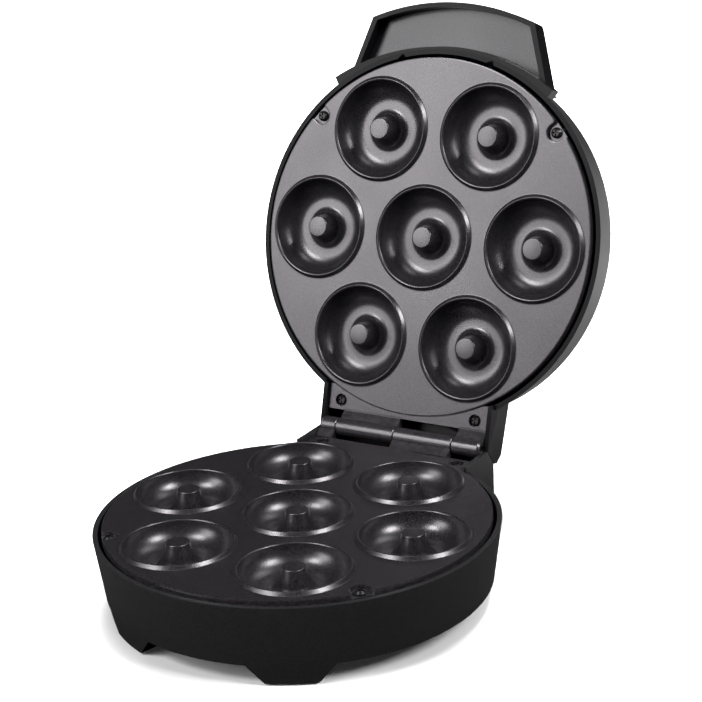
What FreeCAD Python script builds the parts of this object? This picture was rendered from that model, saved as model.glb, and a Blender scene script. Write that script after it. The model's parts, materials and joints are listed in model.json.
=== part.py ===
"""Seven-cavity donut maker: a round clamshell appliance on four moulded feet.

The base and the lid are each modelled in a half frame: z = 0 is the closing plane, +z points at
the other half, -z goes into the half's own housing and the hinge is on the +y side. The base sits
upright on the counter. The lid is the same frame turned over and swung open about the hinge.
Origin: on the counter, under the centre of the round base. +X right, +Y to the hinge, +Z up.
"""
import FreeCAD, Part
import Sketcher
import math
import os

Vector = FreeCAD.Vector
Rotation = FreeCAD.Rotation
Placement = FreeCAD.Placement

DRIVING_SIZES = {
    # cooking plates
    "cavity_radius": 26.0,          # mouth of one donut cavity
    "cavity_depth": 12.0,           # below the closing plane
    "cavity_gap": 6.0,              # land between neighbouring beads
    "bead_width": 3.5,              # raised lip around a cavity, cavity edge to lip foot
    "bead_crest": 1.5,              # cavity edge to the outside of the lip's flat top
    "bead_height": 2.0,             # lip above the plate's face
    "post_top_radius": 5.8,
    "post_base_radius": 7.4,
    "post_foot_radius": 5.0,        # rounding where the post meets the cavity bottom
    "mouth_round": 1.0,             # rounding of the cavity's edge
    "cast_wall": 2.2,
    "plate_border": 2.0,            # outer bead to the plate's edge
    "plate_thickness": 3.0,
    "skirt_height": 5.0,
    "skirt_width": 2.5,
    # heating element and its channel
    "element_inset": 7.0,           # element ring inside the circle of cavity centres
    "element_tube_radius": 3.25,
    "element_gap": 0.05,
    "element_level": 17.5,          # tube centre below the closing plane
    "channel_width": 11.0,
    "channel_depth": 18.0,
    "element_opening": 44.0,        # open angle of the C-shaped tube, degrees
    # housings
    "rim_gap": 4.5,                 # plate edge to the housing's outer rim
    "rim_drop": 4.0,                # rim below the closing plane
    "wall": 2.5,
    "base_draft": 5.5,              # how much smaller the foot circle is than the rim
    "closing_height": 45.5,         # closing plane above the counter
    "foot_height": 9.5,
    "pad_proud": 1.0,
    "pad_radius": 5.0,
    "pad_thickness": 3.0,
    "pad_clearance": 0.1,
    "foot_first_angle": 48.3,       # a foot's two sides at the underside, from the +X axis
    "foot_last_angle": 74.5,
    "foot_slope": 42.0,
    "foot_inner_radius": 64.0,
    "lid_shoulder_depth": 28.0,
    "lid_draft": 3.5,
    "lid_shoulder_width": 7.5,
    "lid_top_depth": 35.5,
    "lid_crown": 1.5,
    "lid_round": 5.0,
    # hinge
    "hinge_offset": 7.1,            # rim to hinge axis
    "half_closing_gap": 0.15,       # half the gap between the closed plates
    "open_angle": 106.2,
    "stop_gap": 0.25,               # between the two stop faces when open
    "barrel_radius": 4.75,
    "barrel_half_length": 48.5,
    "knuckle_gap": 0.4,
    "first_joint": 38.7,            # knuckle joints, left, middle and right
    "middle_joint": 3.0,
    "last_joint": 32.2,
    "pin_radius": 2.0,
    "pin_clearance": 0.05,
    "tab_drop": 3.5,                # hinge tab's face below the closing plane
    "tab_thickness": 3.5,
    "slot_width": 4.1,              # clear slot in front of the other plate's knuckles
    "tab_side_gap": 0.5,
    "rear_depth": 7.9,              # hinge axis to the rear wall
    "edge_lift": 3.0,               # rear box's top edge above the rim
    "lid_rear_height": 19.0,
    "lid_rear_round": 4.5,
    "lid_rear_rise": 3.0,
    "lid_rear_run": 30.0,
    # screws, bosses and spacers
    "screw_inset": 8.0,             # front screws inside the rim
    "screw_angle": 41.0,
    "tab_screw_inset": 7.5,
    "tab_screw_setback": 14.1,
    "shank_radius": 1.5,
    "shank_clearance": 0.2,
    "pilot_radius": 1.5,
    "head_radius": 2.9,
    "head_height": 2.0,
    "plate_screw_length": 18.0,
    "tab_screw_length": 11.0,
    "recess_radius": 4.6,
    "recess_depth": 2.4,
    "ear_radius": 6.5,
    "ear_depth": 8.0,
    "counterbore_radius": 3.4,
    "counterbore_depth": 2.2,
    "spacer_height": 4.0,
    "spacer_radius": 3.5,
    "boss_radius": 4.0,
    # handle
    "handle_reach": 26.0,           # rim to the handle's front edge
    "handle_half_front": 48.5,
    "handle_half_back": 60.5,
    "handle_bite": 0.7,             # back corners inside the rim
    "handle_mouth_depth": 10.0,
    "handle_floor_depth": 18.0,
    "handle_top_depth": 21.0,
    "handle_wall": 2.6,
    "handle_draft": 8.0,
    "insert_thickness": 1.0,
    "insert_clearance": 0.15,
    "trough_back": 2.2,             # rim to the trough's near wall
    "collar_half": 65.3,
    "collar_tip_gap": 4.45,         # rim to the collar's pointed tips
    "collar_front": 1.3,
    "collar_depth": 8.0,
    "collar_bite": 4.0,             # into the rim, before the lid's side is taken out
    "collar_tip_width": 4.5,
    "handle_round": 2.0,
    "handle_screw_spread": 25.0,
    "handle_screw_depth": 14.5,
    # cord inlet
    # shares of the height from the base's floor to the closing plane, so the inlet stays under the open lid
    "inlet_rise_share": 0.3231,     # cord's centre above the base's floor
    "inlet_bore_share": 0.1077,
    "bush_radius_share": 0.1538,
    "bush_flange_share": 0.2154,
    "bush_clearance": 0.05,
    "bush_flange": 1.5,
    # cord clamp and terminal block
    "clamp_post_spacing": 18.0,
    "clamp_post_setback": 22.0,
    "clamp_post_radius": 3.2,
    "clamp_bar_end": 4.0,           # bar beyond the posts' centres
    "clamp_bar_thickness": 2.5,
    "small_pilot_radius": 1.25,
    "small_shank_radius": 1.2,
    "small_head_radius": 2.5,
    "small_head_height": 1.7,
    "block_offset": 22.0,           # terminal block beside the middle plane
    "block_setback": 45.0,
    "block_length": 24.0,
    "block_width": 16.0,
    "block_share": 0.601,           # of the room between the floor and the cavities' undersides
    "block_pitch": 15.0,
    "block_bore": 1.9,
    # inner heating parts
    "seal_length": 4.0,
    "cold_pin_length": 9.0,
    "cold_pin_radius": 1.2,
    "spade_width": 6.3,
    "spade_length": 8.0,
    "spade_thickness": 0.8,
    "clamp_length": 24.0,
    "clamp_width": 10.0,
    "clamp_thickness": 1.2,
    "clamp_reach": 14.0,            # clamp screw inside the element ring
    "clamp_gap": 0.1,
    "clamp_screw_length": 9.0,
    "pillar_radius": 4.0,
    "thermostat_radius": 7.5,
    "thermostat_rim": 8.2,
    "fuse_radius": 2.6,
    "fuse_length": 14.0,
    "fuse_lead_radius": 0.5,
    # indicator lights
    "lens_radius": 3.5,
    "lens_spacing": 18.0,
    "lens_setback": 30.0,
    "lens_gap": 0.1,
    "lamp_radius": 2.1,
    "lamp_length": 9.0,
    "holder_thickness": 2.0,
    "holder_width": 12.0,
}

# Shares of a screw's own head and shank
SHANK_TIP = 0.3
HEAD_SIDE = 0.45
HEAD_CROWN = 0.62
CROSS_LENGTH = 1.25
CROSS_WIDTH = 0.28
INNER_SHANK = 0.85

CLAMP_COUNT = 3
FIRST_CLAMP_ANGLE = 30
THERMOSTAT_ANGLE = 330

doc = FreeCAD.newDocument("DonutMaker")
sheet = doc.addObject("Spreadsheet::Sheet", "Sizes")


class Size:
    """A value together with the sheet expression that gives it."""

    def __init__(self, value, text):
        self.value = float(value)
        self.text = text

    def _join(self, other, sign, work, swap=False):
        other = as_size(other)
        first, second = (other, self) if swap else (self, other)
        return Size(work(first.value, second.value), f"({first.text} {sign} {second.text})")

    def __add__(self, other):
        return self._join(other, "+", lambda a, b: a + b)

    def __radd__(self, other):
        return self._join(other, "+", lambda a, b: a + b, swap=True)

    def __sub__(self, other):
        return self._join(other, "-", lambda a, b: a - b)

    def __rsub__(self, other):
        return self._join(other, "-", lambda a, b: a - b, swap=True)

    def __mul__(self, other):
        return self._join(other, "*", lambda a, b: a * b)

    def __rmul__(self, other):
        return self._join(other, "*", lambda a, b: a * b, swap=True)

    def __truediv__(self, other):
        return self._join(other, "/", lambda a, b: a / b)

    def __neg__(self):
        return Size(-self.value, f"(0 - {self.text})")


def as_size(number):
    return number if isinstance(number, Size) else Size(number, f"{float(number):.6f}")


def root(size):
    return Size(math.sqrt(size.value), f"sqrt({size.text})")


def cosine(angle):
    angle = as_size(angle)
    return Size(math.cos(math.radians(angle.value)), f"cos({angle.text})")


def sine(angle):
    angle = as_size(angle)
    return Size(math.sin(math.radians(angle.value)), f"sin({angle.text})")


def tangent(angle):
    angle = as_size(angle)
    return Size(math.tan(math.radians(angle.value)), f"tan({angle.text})")


class Sheet:
    """The driving sizes, each one a named cell of the spreadsheet."""

    def __init__(self, sizes):
        for row, (name, value) in enumerate(sizes.items(), start=1):
            sheet.set(f"A{row}", name)
            sheet.set(f"B{row}", str(value))
            sheet.setAlias(f"B{row}", name)
            setattr(self, name, Size(value, f"Sizes.{name}"))


dim = Sheet(DRIVING_SIZES)
doc.recompute()

# sizes that follow from the driving ones
cavity_pitch = 2 * (dim.cavity_radius + dim.bead_width) + dim.cavity_gap
plate_radius = cavity_pitch + dim.cavity_radius + dim.bead_width + dim.plate_border
rim_radius = plate_radius + dim.rim_gap
hinge_y = rim_radius + dim.hinge_offset
rear_y = hinge_y + dim.rear_depth
element_ring = cavity_pitch - dim.element_inset
extension_inside = dim.barrel_half_length + dim.tab_side_gap
extension_outside = extension_inside + dim.wall
foot_level = dim.pad_proud - dim.closing_height
underside = foot_level + dim.foot_height
base_floor = underside + dim.wall
boss_top = -(dim.ear_depth + dim.spacer_height)
tab_edge = hinge_y - dim.barrel_radius - dim.slot_width
rear_edge_level = dim.edge_lift - dim.rim_drop
front_screw_circle = rim_radius - dim.screw_inset
front_screw = (front_screw_circle * cosine(dim.screw_angle), -(front_screw_circle * sine(dim.screw_angle)))
tab_screw = (dim.barrel_half_length - dim.tab_screw_inset, hinge_y - dim.tab_screw_setback)
plate_screw_places = [
    (-front_screw[0], front_screw[1]),
    front_screw,
    (-tab_screw[0], tab_screw[1]),
    tab_screw,
]
hinge_point = Vector(0, hinge_y.value, dim.half_closing_gap.value + dim.closing_height.value)


def base_placement():
    return Placement(Vector(0, 0, dim.closing_height.value), Rotation())


def lid_placement():
    """Turn the half frame over onto the base, then swing it open about the hinge."""
    lifted = Vector(0, 0, dim.closing_height.value + 2 * dim.half_closing_gap.value)
    closed = Placement(lifted, Rotation(Vector(0, 1, 0), 180))
    swing = Placement(Vector(), Rotation(Vector(1, 0, 0), -dim.open_angle.value), hinge_point)
    return swing.multiply(closed)


class Piece:
    """One sub-part: a PartDesign body with short calls for its features."""

    def __init__(self, label, placement):
        self.body = doc.addObject("PartDesign::Body", label)
        self.body.Label = label
        self.body.AllowCompound = True
        self.body.Placement = placement

    def origin(self, role):
        return [item for item in self.body.Origin.OriginFeatures if item.Role == role][0]

    def sketch(self, role, points, shift):
        """Closed outline on an origin plane. A point is (a, b) or (a, b, radius): with a radius
        the stretch to the next point is an arc, its centre to the left for a positive one."""
        item = self.body.newObject("Sketcher::SketchObject", "Outline")
        item.AttachmentSupport = [(self.origin(role), "")]
        item.MapMode = "FlatFace"
        place(item, "AttachmentOffset", shift)
        ends = [add_stretch(item, points, index) for index in range(len(points))]
        for index, (first, last) in enumerate(ends):
            following = (index + 1) % len(points)
            item.addConstraint(Sketcher.Constraint("Coincident", index, last, following, ends[following][0]))
            bind(item, Sketcher.Constraint, "DistanceX", index, first, points[index][0])
            bind(item, Sketcher.Constraint, "DistanceY", index, first, points[index][1])
            if len(points[index]) > 2:
                radius = points[index][2]
                radius = radius if radius.value > 0 else -radius
                number = item.addConstraint(Sketcher.Constraint("Radius", index, radius.value))
                item.setExpression(f"Constraints[{number}]", radius.text)
        return item

    def revolve(self, points, at=(0, 0), cut=False):
        """Turn an outline of (radius, z) about the upright axis through a place."""
        outline = self.sketch("XZ_Plane", sized(points), (at[0], 0, -as_size(at[1])))
        kind = "PartDesign::Groove" if cut else "PartDesign::Revolution"
        feature = self.body.newObject(kind, "Turned")
        feature.Profile = outline
        feature.ReferenceAxis = (outline, ["V_Axis"])
        feature.Angle = 360
        return feature

    def extrude(self, points, low, high, cut=False, taper=0):
        """Raise an outline of (x, y) from one level to another."""
        low = as_size(low)
        outline = self.sketch("XY_Plane", sized(points), (0, 0, low))
        feature = self.body.newObject("PartDesign::Pocket" if cut else "PartDesign::Pad", "Raised")
        feature.Profile = outline
        feature.Reversed = cut
        feature.setExpression("Length", (high - low).text)
        if taper:
            feature.setExpression("TaperAngle", as_size(taper).text)
        return feature

    def across(self, role, points, half_width, cut=False):
        """Run an upright outline to both sides of a middle plane."""
        outline = self.sketch(role, sized(points), (0, 0, 0))
        feature = self.body.newObject("PartDesign::Pocket" if cut else "PartDesign::Pad", "Across")
        feature.Profile = outline
        feature.Midplane = True
        feature.setExpression("Length", (2 * as_size(half_width)).text)
        return feature

    def cylinder(self, start, length, radius, cut=False, turn=None):
        feature = self.body.newObject(f"PartDesign::{kind_of(cut)}Cylinder", "Round")
        feature.setExpression("Radius", as_size(radius).text)
        feature.setExpression("Height", as_size(length).text)
        place(feature, "Placement", start, turn)
        return feature

    def box(self, start, size, cut=False, turn=None):
        feature = self.body.newObject(f"PartDesign::{kind_of(cut)}Box", "Block")
        for name, value in zip(("Length", "Width", "Height"), size):
            feature.setExpression(name, as_size(value).text)
        place(feature, "Placement", start, turn)
        return feature

    def around(self, features, count):
        """Repeat features about the upright axis."""
        pattern = self.body.newObject("PartDesign::PolarPattern", "Repeated")
        pattern.Originals = features
        pattern.Axis = (self.origin("Z_Axis"), [""])
        pattern.Angle = 360
        pattern.Occurrences = count
        self.body.Tip = pattern
        return pattern

    def mirror(self, features, role):
        """Repeat features on the other side of a middle plane."""
        mirrored = self.body.newObject("PartDesign::Mirrored", "Mirrored")
        mirrored.Originals = features
        mirrored.MirrorPlane = (self.origin(role), [""])
        self.body.Tip = mirrored
        return mirrored

    def round_edges(self, wanted, radius):
        """Round every edge that the test picks."""
        doc.recompute()
        base = self.body.Tip
        edges = base.Shape.Edges
        names = [f"Edge{number}" for number, edge in enumerate(edges, start=1) if wanted(edge)]
        feature = self.body.newObject("PartDesign::Fillet", "Rounded")
        feature.Base = (base, names)
        feature.setExpression("Radius", as_size(radius).text)
        return feature


def kind_of(cut):
    return "Subtractive" if cut else "Additive"


def sized(points):
    return [tuple(as_size(number) for number in point) for point in points]


def place(item, name, shift, turn=None):
    """Set a placement whose offsets stay bound to the sheet."""
    shift = [as_size(number) for number in shift]
    setattr(item, name, Placement(Vector(*[number.value for number in shift]), turn or Rotation()))
    for axis, number in zip("xyz", shift):
        item.setExpression(f"{name}.Base.{axis}", number.text)


def bind(item, constraint, kind, index, end, size):
    """Hold one coordinate of a sketch point at a sheet expression."""
    number = item.addConstraint(constraint(kind, -1, 1, index, end, size.value))
    item.setExpression(f"Constraints[{number}]", size.text)


def add_stretch(item, points, index):
    """Add the line or arc that starts at a point. Returns its first and last vertex numbers."""
    here, there = points[index], points[(index + 1) % len(points)]
    start = Vector(here[0].value, here[1].value, 0)
    end = Vector(there[0].value, there[1].value, 0)
    if len(here) < 3:
        item.addGeometry(Part.LineSegment(start, end), False)
        return 1, 2
    radius = here[2].value
    chord = end - start
    rise = math.sqrt(max(radius ** 2 - chord.Length ** 2 / 4, 0)) * math.copysign(1, radius)
    centre = (start + end) * 0.5 + Vector(-chord.y, chord.x, 0).normalize() * rise
    first, last = (start, end) if radius > 0 else (end, start)
    angles = [math.atan2(point.y - centre.y, point.x - centre.x) for point in (first, last)]
    circle = Part.Circle(centre, Vector(0, 0, 1), abs(radius))
    item.addGeometry(Part.ArcOfCircle(circle, angles[0], angles[1]), False)
    return (1, 2) if radius > 0 else (2, 1)


def polar(radius, angle):
    return radius * cosine(angle), radius * sine(angle)


# ---------------------------------------------------------------- cooking plates

def cavity_outline():
    """Half of a donut: a tapered post, a rounded bottom and a rounded mouth."""
    outer_arc = dim.cavity_depth - dim.mouth_round
    post_foot = -(dim.cavity_depth - dim.post_foot_radius)
    return [
        (dim.post_top_radius, 0),
        (dim.post_base_radius, post_foot, dim.post_foot_radius),
        (dim.post_base_radius + dim.post_foot_radius, -dim.cavity_depth),
        (dim.cavity_radius - outer_arc, -dim.cavity_depth, outer_arc),
        (dim.cavity_radius, -dim.mouth_round, -dim.mouth_round),
        (dim.cavity_radius + dim.mouth_round, 0),
        (dim.cavity_radius + dim.mouth_round, 1),
        (dim.post_top_radius, 1),
    ]


def cup_outline():
    """The casting's bulge below a cavity."""
    outer_arc = dim.cavity_depth - dim.mouth_round + dim.cast_wall
    cup_radius = dim.cavity_radius + dim.cast_wall
    bottom = -(dim.cavity_depth + dim.cast_wall)
    return [
        (0, bottom),
        (cup_radius - outer_arc, bottom, outer_arc),
        (cup_radius, -dim.mouth_round - dim.mouth_round),
        (0, -dim.mouth_round - dim.mouth_round),
    ]


def bead_outline():
    """The raised lip around a cavity."""
    foot = dim.cavity_radius + dim.bead_width
    return [
        (0, -dim.bead_height - 1),
        (foot, -dim.bead_height - 1),
        (foot, -dim.bead_height),
        (dim.cavity_radius + dim.bead_crest, 0),
        (0, 0),
    ]


def plate_disc(piece):
    face = -dim.bead_height
    inside = plate_radius - dim.skirt_width
    piece.revolve([
        (0, face),
        (0, face - dim.plate_thickness),
        (inside, face - dim.plate_thickness),
        (inside, face - dim.skirt_height),
        (plate_radius, face - dim.skirt_height),
        (plate_radius, face),
    ])


def element_channel(piece, cut):
    """The ring under the cups that the heating tube is pressed into."""
    if cut:
        radius = dim.element_tube_radius + dim.element_gap
        piece.revolve([
            (element_ring - radius, -dim.channel_depth - 1),
            (element_ring + radius, -dim.channel_depth - 1),
            (element_ring + radius, -dim.element_level, radius),
            (element_ring, radius - dim.element_level, radius),
            (element_ring - radius, -dim.element_level),
        ], cut=True)
        return
    half = dim.channel_width / 2
    piece.revolve([
        (element_ring - half, -dim.channel_depth),
        (element_ring + half, -dim.channel_depth),
        (element_ring + half, -dim.bead_height - 1),
        (element_ring - half, -dim.bead_height - 1),
    ])


def terminal_room(piece):
    """The channel's walls are left out where the tube's two ends and their spades are."""
    half = element_ring * sine(dim.element_opening / 2)
    near = element_ring - dim.channel_width
    piece.box((-half, near, -dim.channel_depth - 1), (2 * half, 2 * dim.channel_width, 3.4), cut=True)


def clamp_angle(index):
    return FIRST_CLAMP_ANGLE + 360 / CLAMP_COUNT * index


def clamp_place(index):
    return polar(element_ring - dim.clamp_reach, clamp_angle(index))


def hinge_knuckle(piece, left, right):
    """One barrel length and the tongue that joins it to the plate's tab."""
    axis_z = dim.half_closing_gap
    tab_bottom = -dim.tab_drop - dim.tab_thickness
    along_x = Rotation(Vector(0, 1, 0), 90)
    outline = [
        (tab_edge - 1, tab_bottom),
        (hinge_y - dim.barrel_radius / 2, tab_bottom),
        (hinge_y, axis_z - dim.barrel_radius * 0.98),
        (hinge_y, axis_z - 0.5),
        (hinge_y - dim.barrel_radius, axis_z - 0.5),
        (tab_edge, -dim.tab_drop),
        (tab_edge - 1, -dim.tab_drop),
    ]
    tongue = piece.sketch("YZ_Plane", sized(outline), (0, 0, left))
    pad = piece.body.newObject("PartDesign::Pad", "Tongue")
    pad.Profile = tongue
    pad.setExpression("Length", (right - left).text)
    piece.cylinder((left, hinge_y, axis_z), right - left, dim.barrel_radius, turn=along_x)


def hinge_bore(piece):
    along_x = Rotation(Vector(0, 1, 0), 90)
    start = (-dim.barrel_half_length - 1, hinge_y, dim.half_closing_gap)
    radius = dim.pin_radius + dim.pin_clearance
    piece.cylinder(start, 2 * dim.barrel_half_length + 2, radius, cut=True, turn=along_x)


def plate_screw_seats(piece):
    """Open recesses at the front edge and counterbores in the hinge tab."""
    clear = dim.shank_radius + dim.shank_clearance
    for x, y in plate_screw_places:
        piece.cylinder((x, y, -dim.ear_depth - 1), dim.ear_depth + 2, clear, cut=True)
    seat = -dim.bead_height - dim.recess_depth
    for index, angle in enumerate((180 + dim.screw_angle, -dim.screw_angle)):
        x, y = plate_screw_places[index]
        piece.cylinder((x, y, seat), dim.recess_depth + 1, dim.recess_radius, cut=True)
        mouth = Rotation(Vector(0, 0, 1), as_size(angle).value)
        start_x = x + dim.recess_radius * sine(angle)
        start_y = y - dim.recess_radius * cosine(angle)
        size = (2 * dim.ear_radius, 2 * dim.recess_radius, dim.recess_depth + 1)
        piece.box((start_x, start_y, seat), size, cut=True, turn=mouth)
    for x, y in plate_screw_places[2:]:
        level = -dim.tab_drop - dim.counterbore_depth
        piece.cylinder((x, y, level), dim.counterbore_depth + 1, dim.counterbore_radius, cut=True)


def cooking_plate(label, placement, knuckles):
    piece = Piece(label, placement)
    plate_disc(piece)
    element_channel(piece, cut=False)
    for outline in (cup_outline(), bead_outline()):
        piece.revolve(outline)
        outer = piece.revolve(outline, at=(cavity_pitch, 0))
        piece.around([outer], 6)
    for index in range(CLAMP_COUNT):
        x, y = clamp_place(index)
        level = -dim.element_level - dim.element_tube_radius - dim.clamp_gap
        piece.cylinder((x, y, level), -dim.bead_height - 1 - level, dim.pillar_radius)
    piece.cylinder((0, 0, -dim.channel_depth), 6, 5)
    for x, y in plate_screw_places[:2]:
        piece.cylinder((x, y, -dim.ear_depth), dim.ear_depth - dim.bead_height, dim.ear_radius)
    plate_trim(piece)
    half = dim.barrel_half_length
    tab_bottom = -dim.tab_drop - dim.tab_thickness
    tab = [(-half, tab_edge - 30), (half, tab_edge - 30), (half, tab_edge), (-half, tab_edge)]
    piece.extrude(tab, tab_bottom, -dim.tab_drop)
    for x, y in plate_screw_places[2:]:
        piece.cylinder((x, y, -dim.ear_depth), dim.ear_depth - dim.tab_drop, dim.tab_screw_setback / 3)
    for left, right in knuckles:
        hinge_knuckle(piece, left, right)
    hinge_bore(piece)
    piece.revolve(cavity_outline(), cut=True)
    outer = piece.revolve(cavity_outline(), at=(cavity_pitch, 0), cut=True)
    piece.around([outer], 6)
    element_channel(piece, cut=True)
    terminal_room(piece)
    for index in range(CLAMP_COUNT):
        x, y = clamp_place(index)
        piece.cylinder((x, y, -dim.channel_depth - 4), 14, dim.pilot_radius * INNER_SHANK, cut=True)
    piece.cylinder((0, 0, -dim.channel_depth - 1), 9, dim.pilot_radius * INNER_SHANK, cut=True)
    plate_screw_seats(piece)
    return piece


def plate_trim(piece):
    """Take off what stands out past the plate's round edge."""
    beyond = plate_radius + 2 * dim.ear_radius
    piece.revolve([
        (plate_radius, -dim.ear_depth - 1),
        (beyond, -dim.ear_depth - 1),
        (beyond, 1),
        (plate_radius, 1),
    ], cut=True)


def knuckle_spans():
    """The four barrel lengths, left to right, base and lid in turn."""
    gap = dim.knuckle_gap / 2
    ends = (-dim.barrel_half_length, -dim.first_joint, -dim.middle_joint, dim.last_joint,
            dim.barrel_half_length)
    spans = []
    for index in range(4):
        left = ends[index] + gap if index > 0 else ends[index]
        right = ends[index + 1] - gap if index < 3 else ends[index + 1]
        spans.append((left, right))
    base = [spans[0], spans[2]]
    lid = [(-right, -left) for left, right in (spans[1], spans[3])]
    return base, lid


def hinge_pin():
    piece = Piece("hinge_pin", base_placement())
    along_x = Rotation(Vector(0, 1, 0), 90)
    start = (-dim.barrel_half_length, hinge_y, dim.half_closing_gap)
    piece.cylinder(start, 2 * dim.barrel_half_length - 1, dim.pin_radius, turn=along_x)


# ---------------------------------------------------------------- screws and spacers

def add_screw(piece, x, y, seat, length):
    """A pan-head screw with a cross recess, its head resting on the seat level."""
    head, shank = dim.head_radius, dim.shank_radius
    piece.revolve([
        (0, seat - length),
        (shank * SHANK_TIP, seat - length),
        (shank, seat - length + shank),
        (shank, seat),
        (head, seat),
        (head, seat + dim.head_height * HEAD_SIDE),
        (head * HEAD_CROWN, seat + dim.head_height),
        (0, seat + dim.head_height),
    ], at=(x, y))
    long_side, short_side = dim.head_radius * CROSS_LENGTH, dim.head_radius * CROSS_WIDTH
    level = seat + dim.head_height * HEAD_SIDE
    for width, depth in ((long_side, short_side), (short_side, long_side)):
        start = (x - width / 2, y - depth / 2, level)
        piece.box(start, (width, depth, dim.head_height), cut=True)


def plate_screws(label, placement):
    piece = Piece(label, placement)
    for x, y in plate_screw_places[:2]:
        add_screw(piece, x, y, -dim.bead_height - dim.recess_depth, dim.plate_screw_length)
    for x, y in plate_screw_places[2:]:
        add_screw(piece, x, y, -dim.tab_drop - dim.counterbore_depth, dim.tab_screw_length)


def plate_spacers(label, placement):
    piece = Piece(label, placement)
    bore = dim.shank_radius + dim.shank_clearance
    for x, y in plate_screw_places:
        piece.revolve([
            (bore, boss_top),
            (dim.spacer_radius, boss_top),
            (dim.spacer_radius, -dim.ear_depth),
            (bore, -dim.ear_depth),
        ], at=(x, y))


# ---------------------------------------------------------------- heating

def heating_element(label, placement):
    """A sheathed tube bent to a C, with cold pins and spade terminals on both ends."""
    piece = Piece(label, placement)
    ring = element_ring
    radius = dim.element_tube_radius
    outline = piece.sketch("XZ_Plane", sized([
        (ring + radius, -dim.element_level, radius),
        (ring, radius - dim.element_level, radius),
        (ring - radius, -dim.element_level, radius),
        (ring, -radius - dim.element_level, radius),
    ]), (0, 0, 0))
    tube = piece.body.newObject("PartDesign::Revolution", "Tube")
    tube.Profile = outline
    tube.ReferenceAxis = (outline, ["V_Axis"])
    tube.setExpression("Angle", (360 - dim.element_opening).text)
    first_end = 0
    last_end = -(360 - dim.element_opening.value)
    piece.body.Placement = placement.multiply(
        Placement(Vector(), Rotation(Vector(0, 0, 1), 90 - dim.element_opening.value / 2)))
    for end, sign in ((first_end, 1), (last_end, -1)):
        add_cold_pin(piece, end, sign)


def add_cold_pin(piece, end, sign):
    """A ceramic seal, a pin and a flat spade, in line with the tube's end."""
    ring, level = element_ring, -dim.element_level
    turn = Rotation(Vector(0, 0, 1), end)
    direction = turn.multVec(Vector(0, sign, 0))
    along = Rotation(Vector(0, 0, 1), direction)
    start = turn.multVec(Vector(1, 0, 0))
    x, y = ring * start.x, ring * start.y
    piece.cylinder((x, y, level), dim.seal_length, dim.element_tube_radius * 0.75, turn=along)
    piece.cylinder((x, y, level), dim.cold_pin_length, dim.cold_pin_radius, turn=along)
    spade = turn.multiply(Rotation(Vector(0, 0, 1), 0 if sign > 0 else 180))
    corner = spade.multVec(Vector(-dim.spade_width.value / 2, dim.cold_pin_length.value - 1, 0))
    size = (dim.spade_width, dim.spade_length, dim.spade_thickness)
    piece.box((x + corner.x, y + corner.y, level - dim.spade_thickness / 2), size, turn=spade)


def element_clamps(label, placement):
    """Three sheet-metal clamps that hold the tube up in its channel."""
    piece = Piece(label, placement)
    top = -dim.element_level - dim.element_tube_radius - dim.clamp_gap
    size = (dim.clamp_length, dim.clamp_width, dim.clamp_thickness)
    over_tube = 5
    for index in range(CLAMP_COUNT):
        turn = Rotation(Vector(0, 0, 1), clamp_angle(index))
        near = turn.multVec(Vector(over_tube - dim.clamp_length.value, -dim.clamp_width.value / 2, 0))
        x, y = polar(element_ring, clamp_angle(index))
        piece.box((x + near.x, y + near.y, top - dim.clamp_thickness), size, turn=turn)
        x, y = clamp_place(index)
        piece.cylinder((x, y, top - 2), 4, dim.shank_radius + dim.shank_clearance, cut=True)


def clamp_screws(label, placement):
    """Screws that come from inside the housing, so they are drawn head down."""
    piece = Piece(label, placement)
    top = -dim.element_level - dim.element_tube_radius - dim.clamp_gap - dim.clamp_thickness
    for index in range(CLAMP_COUNT):
        x, y = clamp_place(index)
        add_inner_screw(piece, x, y, top, dim.clamp_screw_length)


def add_inner_screw(piece, x, y, seat, length):
    """A pan-head screw whose head hangs below its seat and whose shank goes up."""
    head, shank = dim.head_radius, dim.shank_radius * INNER_SHANK
    piece.revolve([
        (0, seat - dim.head_height),
        (head * HEAD_CROWN, seat - dim.head_height),
        (head, seat - dim.head_height * HEAD_SIDE),
        (head, seat),
        (shank, seat),
        (shank, seat + length - shank),
        (shank * SHANK_TIP, seat + length),
        (0, seat + length),
    ], at=(x, y))
    width, depth = dim.head_radius * CROSS_LENGTH, dim.head_radius * CROSS_WIDTH
    for size_x, size_y in ((width, depth), (depth, width)):
        start = (x - size_x / 2, y - size_y / 2, seat - dim.head_height - 1)
        piece.box(start, (size_x, size_y, 2), cut=True)


def thermostat_group():
    """The bimetal thermostat, the strap that presses it on the casting, its screw and the fuse."""
    placement = base_placement()
    turn = Rotation(Vector(0, 0, 1), THERMOSTAT_ANGLE)
    gap_circle = cavity_pitch / root(as_size(3))
    x, y = polar(gap_circle, THERMOSTAT_ANGLE)
    face = -dim.bead_height - dim.plate_thickness
    strap_top = -dim.channel_depth
    body = Piece("thermostat", placement)
    body.cylinder((x, y, strap_top), face - strap_top, dim.thermostat_radius)
    body.cylinder((x, y, strap_top), dim.thermostat_radius / 2, dim.thermostat_rim)
    spade = (dim.spade_width, dim.spade_length, dim.spade_thickness)
    spade_centre = 11
    for side in (-1, 1):
        offset = side * spade_centre - dim.spade_length.value / 2
        corner = turn.multVec(Vector(-dim.spade_width.value / 2, offset, 0))
        body.box((x + corner.x, y + corner.y, strap_top + 1.5), spade, turn=turn)
    thermostat_strap(turn, gap_circle, strap_top)
    screw = Piece("thermostat_strap_screw", placement)
    add_inner_screw(screw, as_size(0), as_size(0), strap_top - dim.clamp_thickness, as_size(7))
    thermal_fuse(turn, strap_top)


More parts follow.
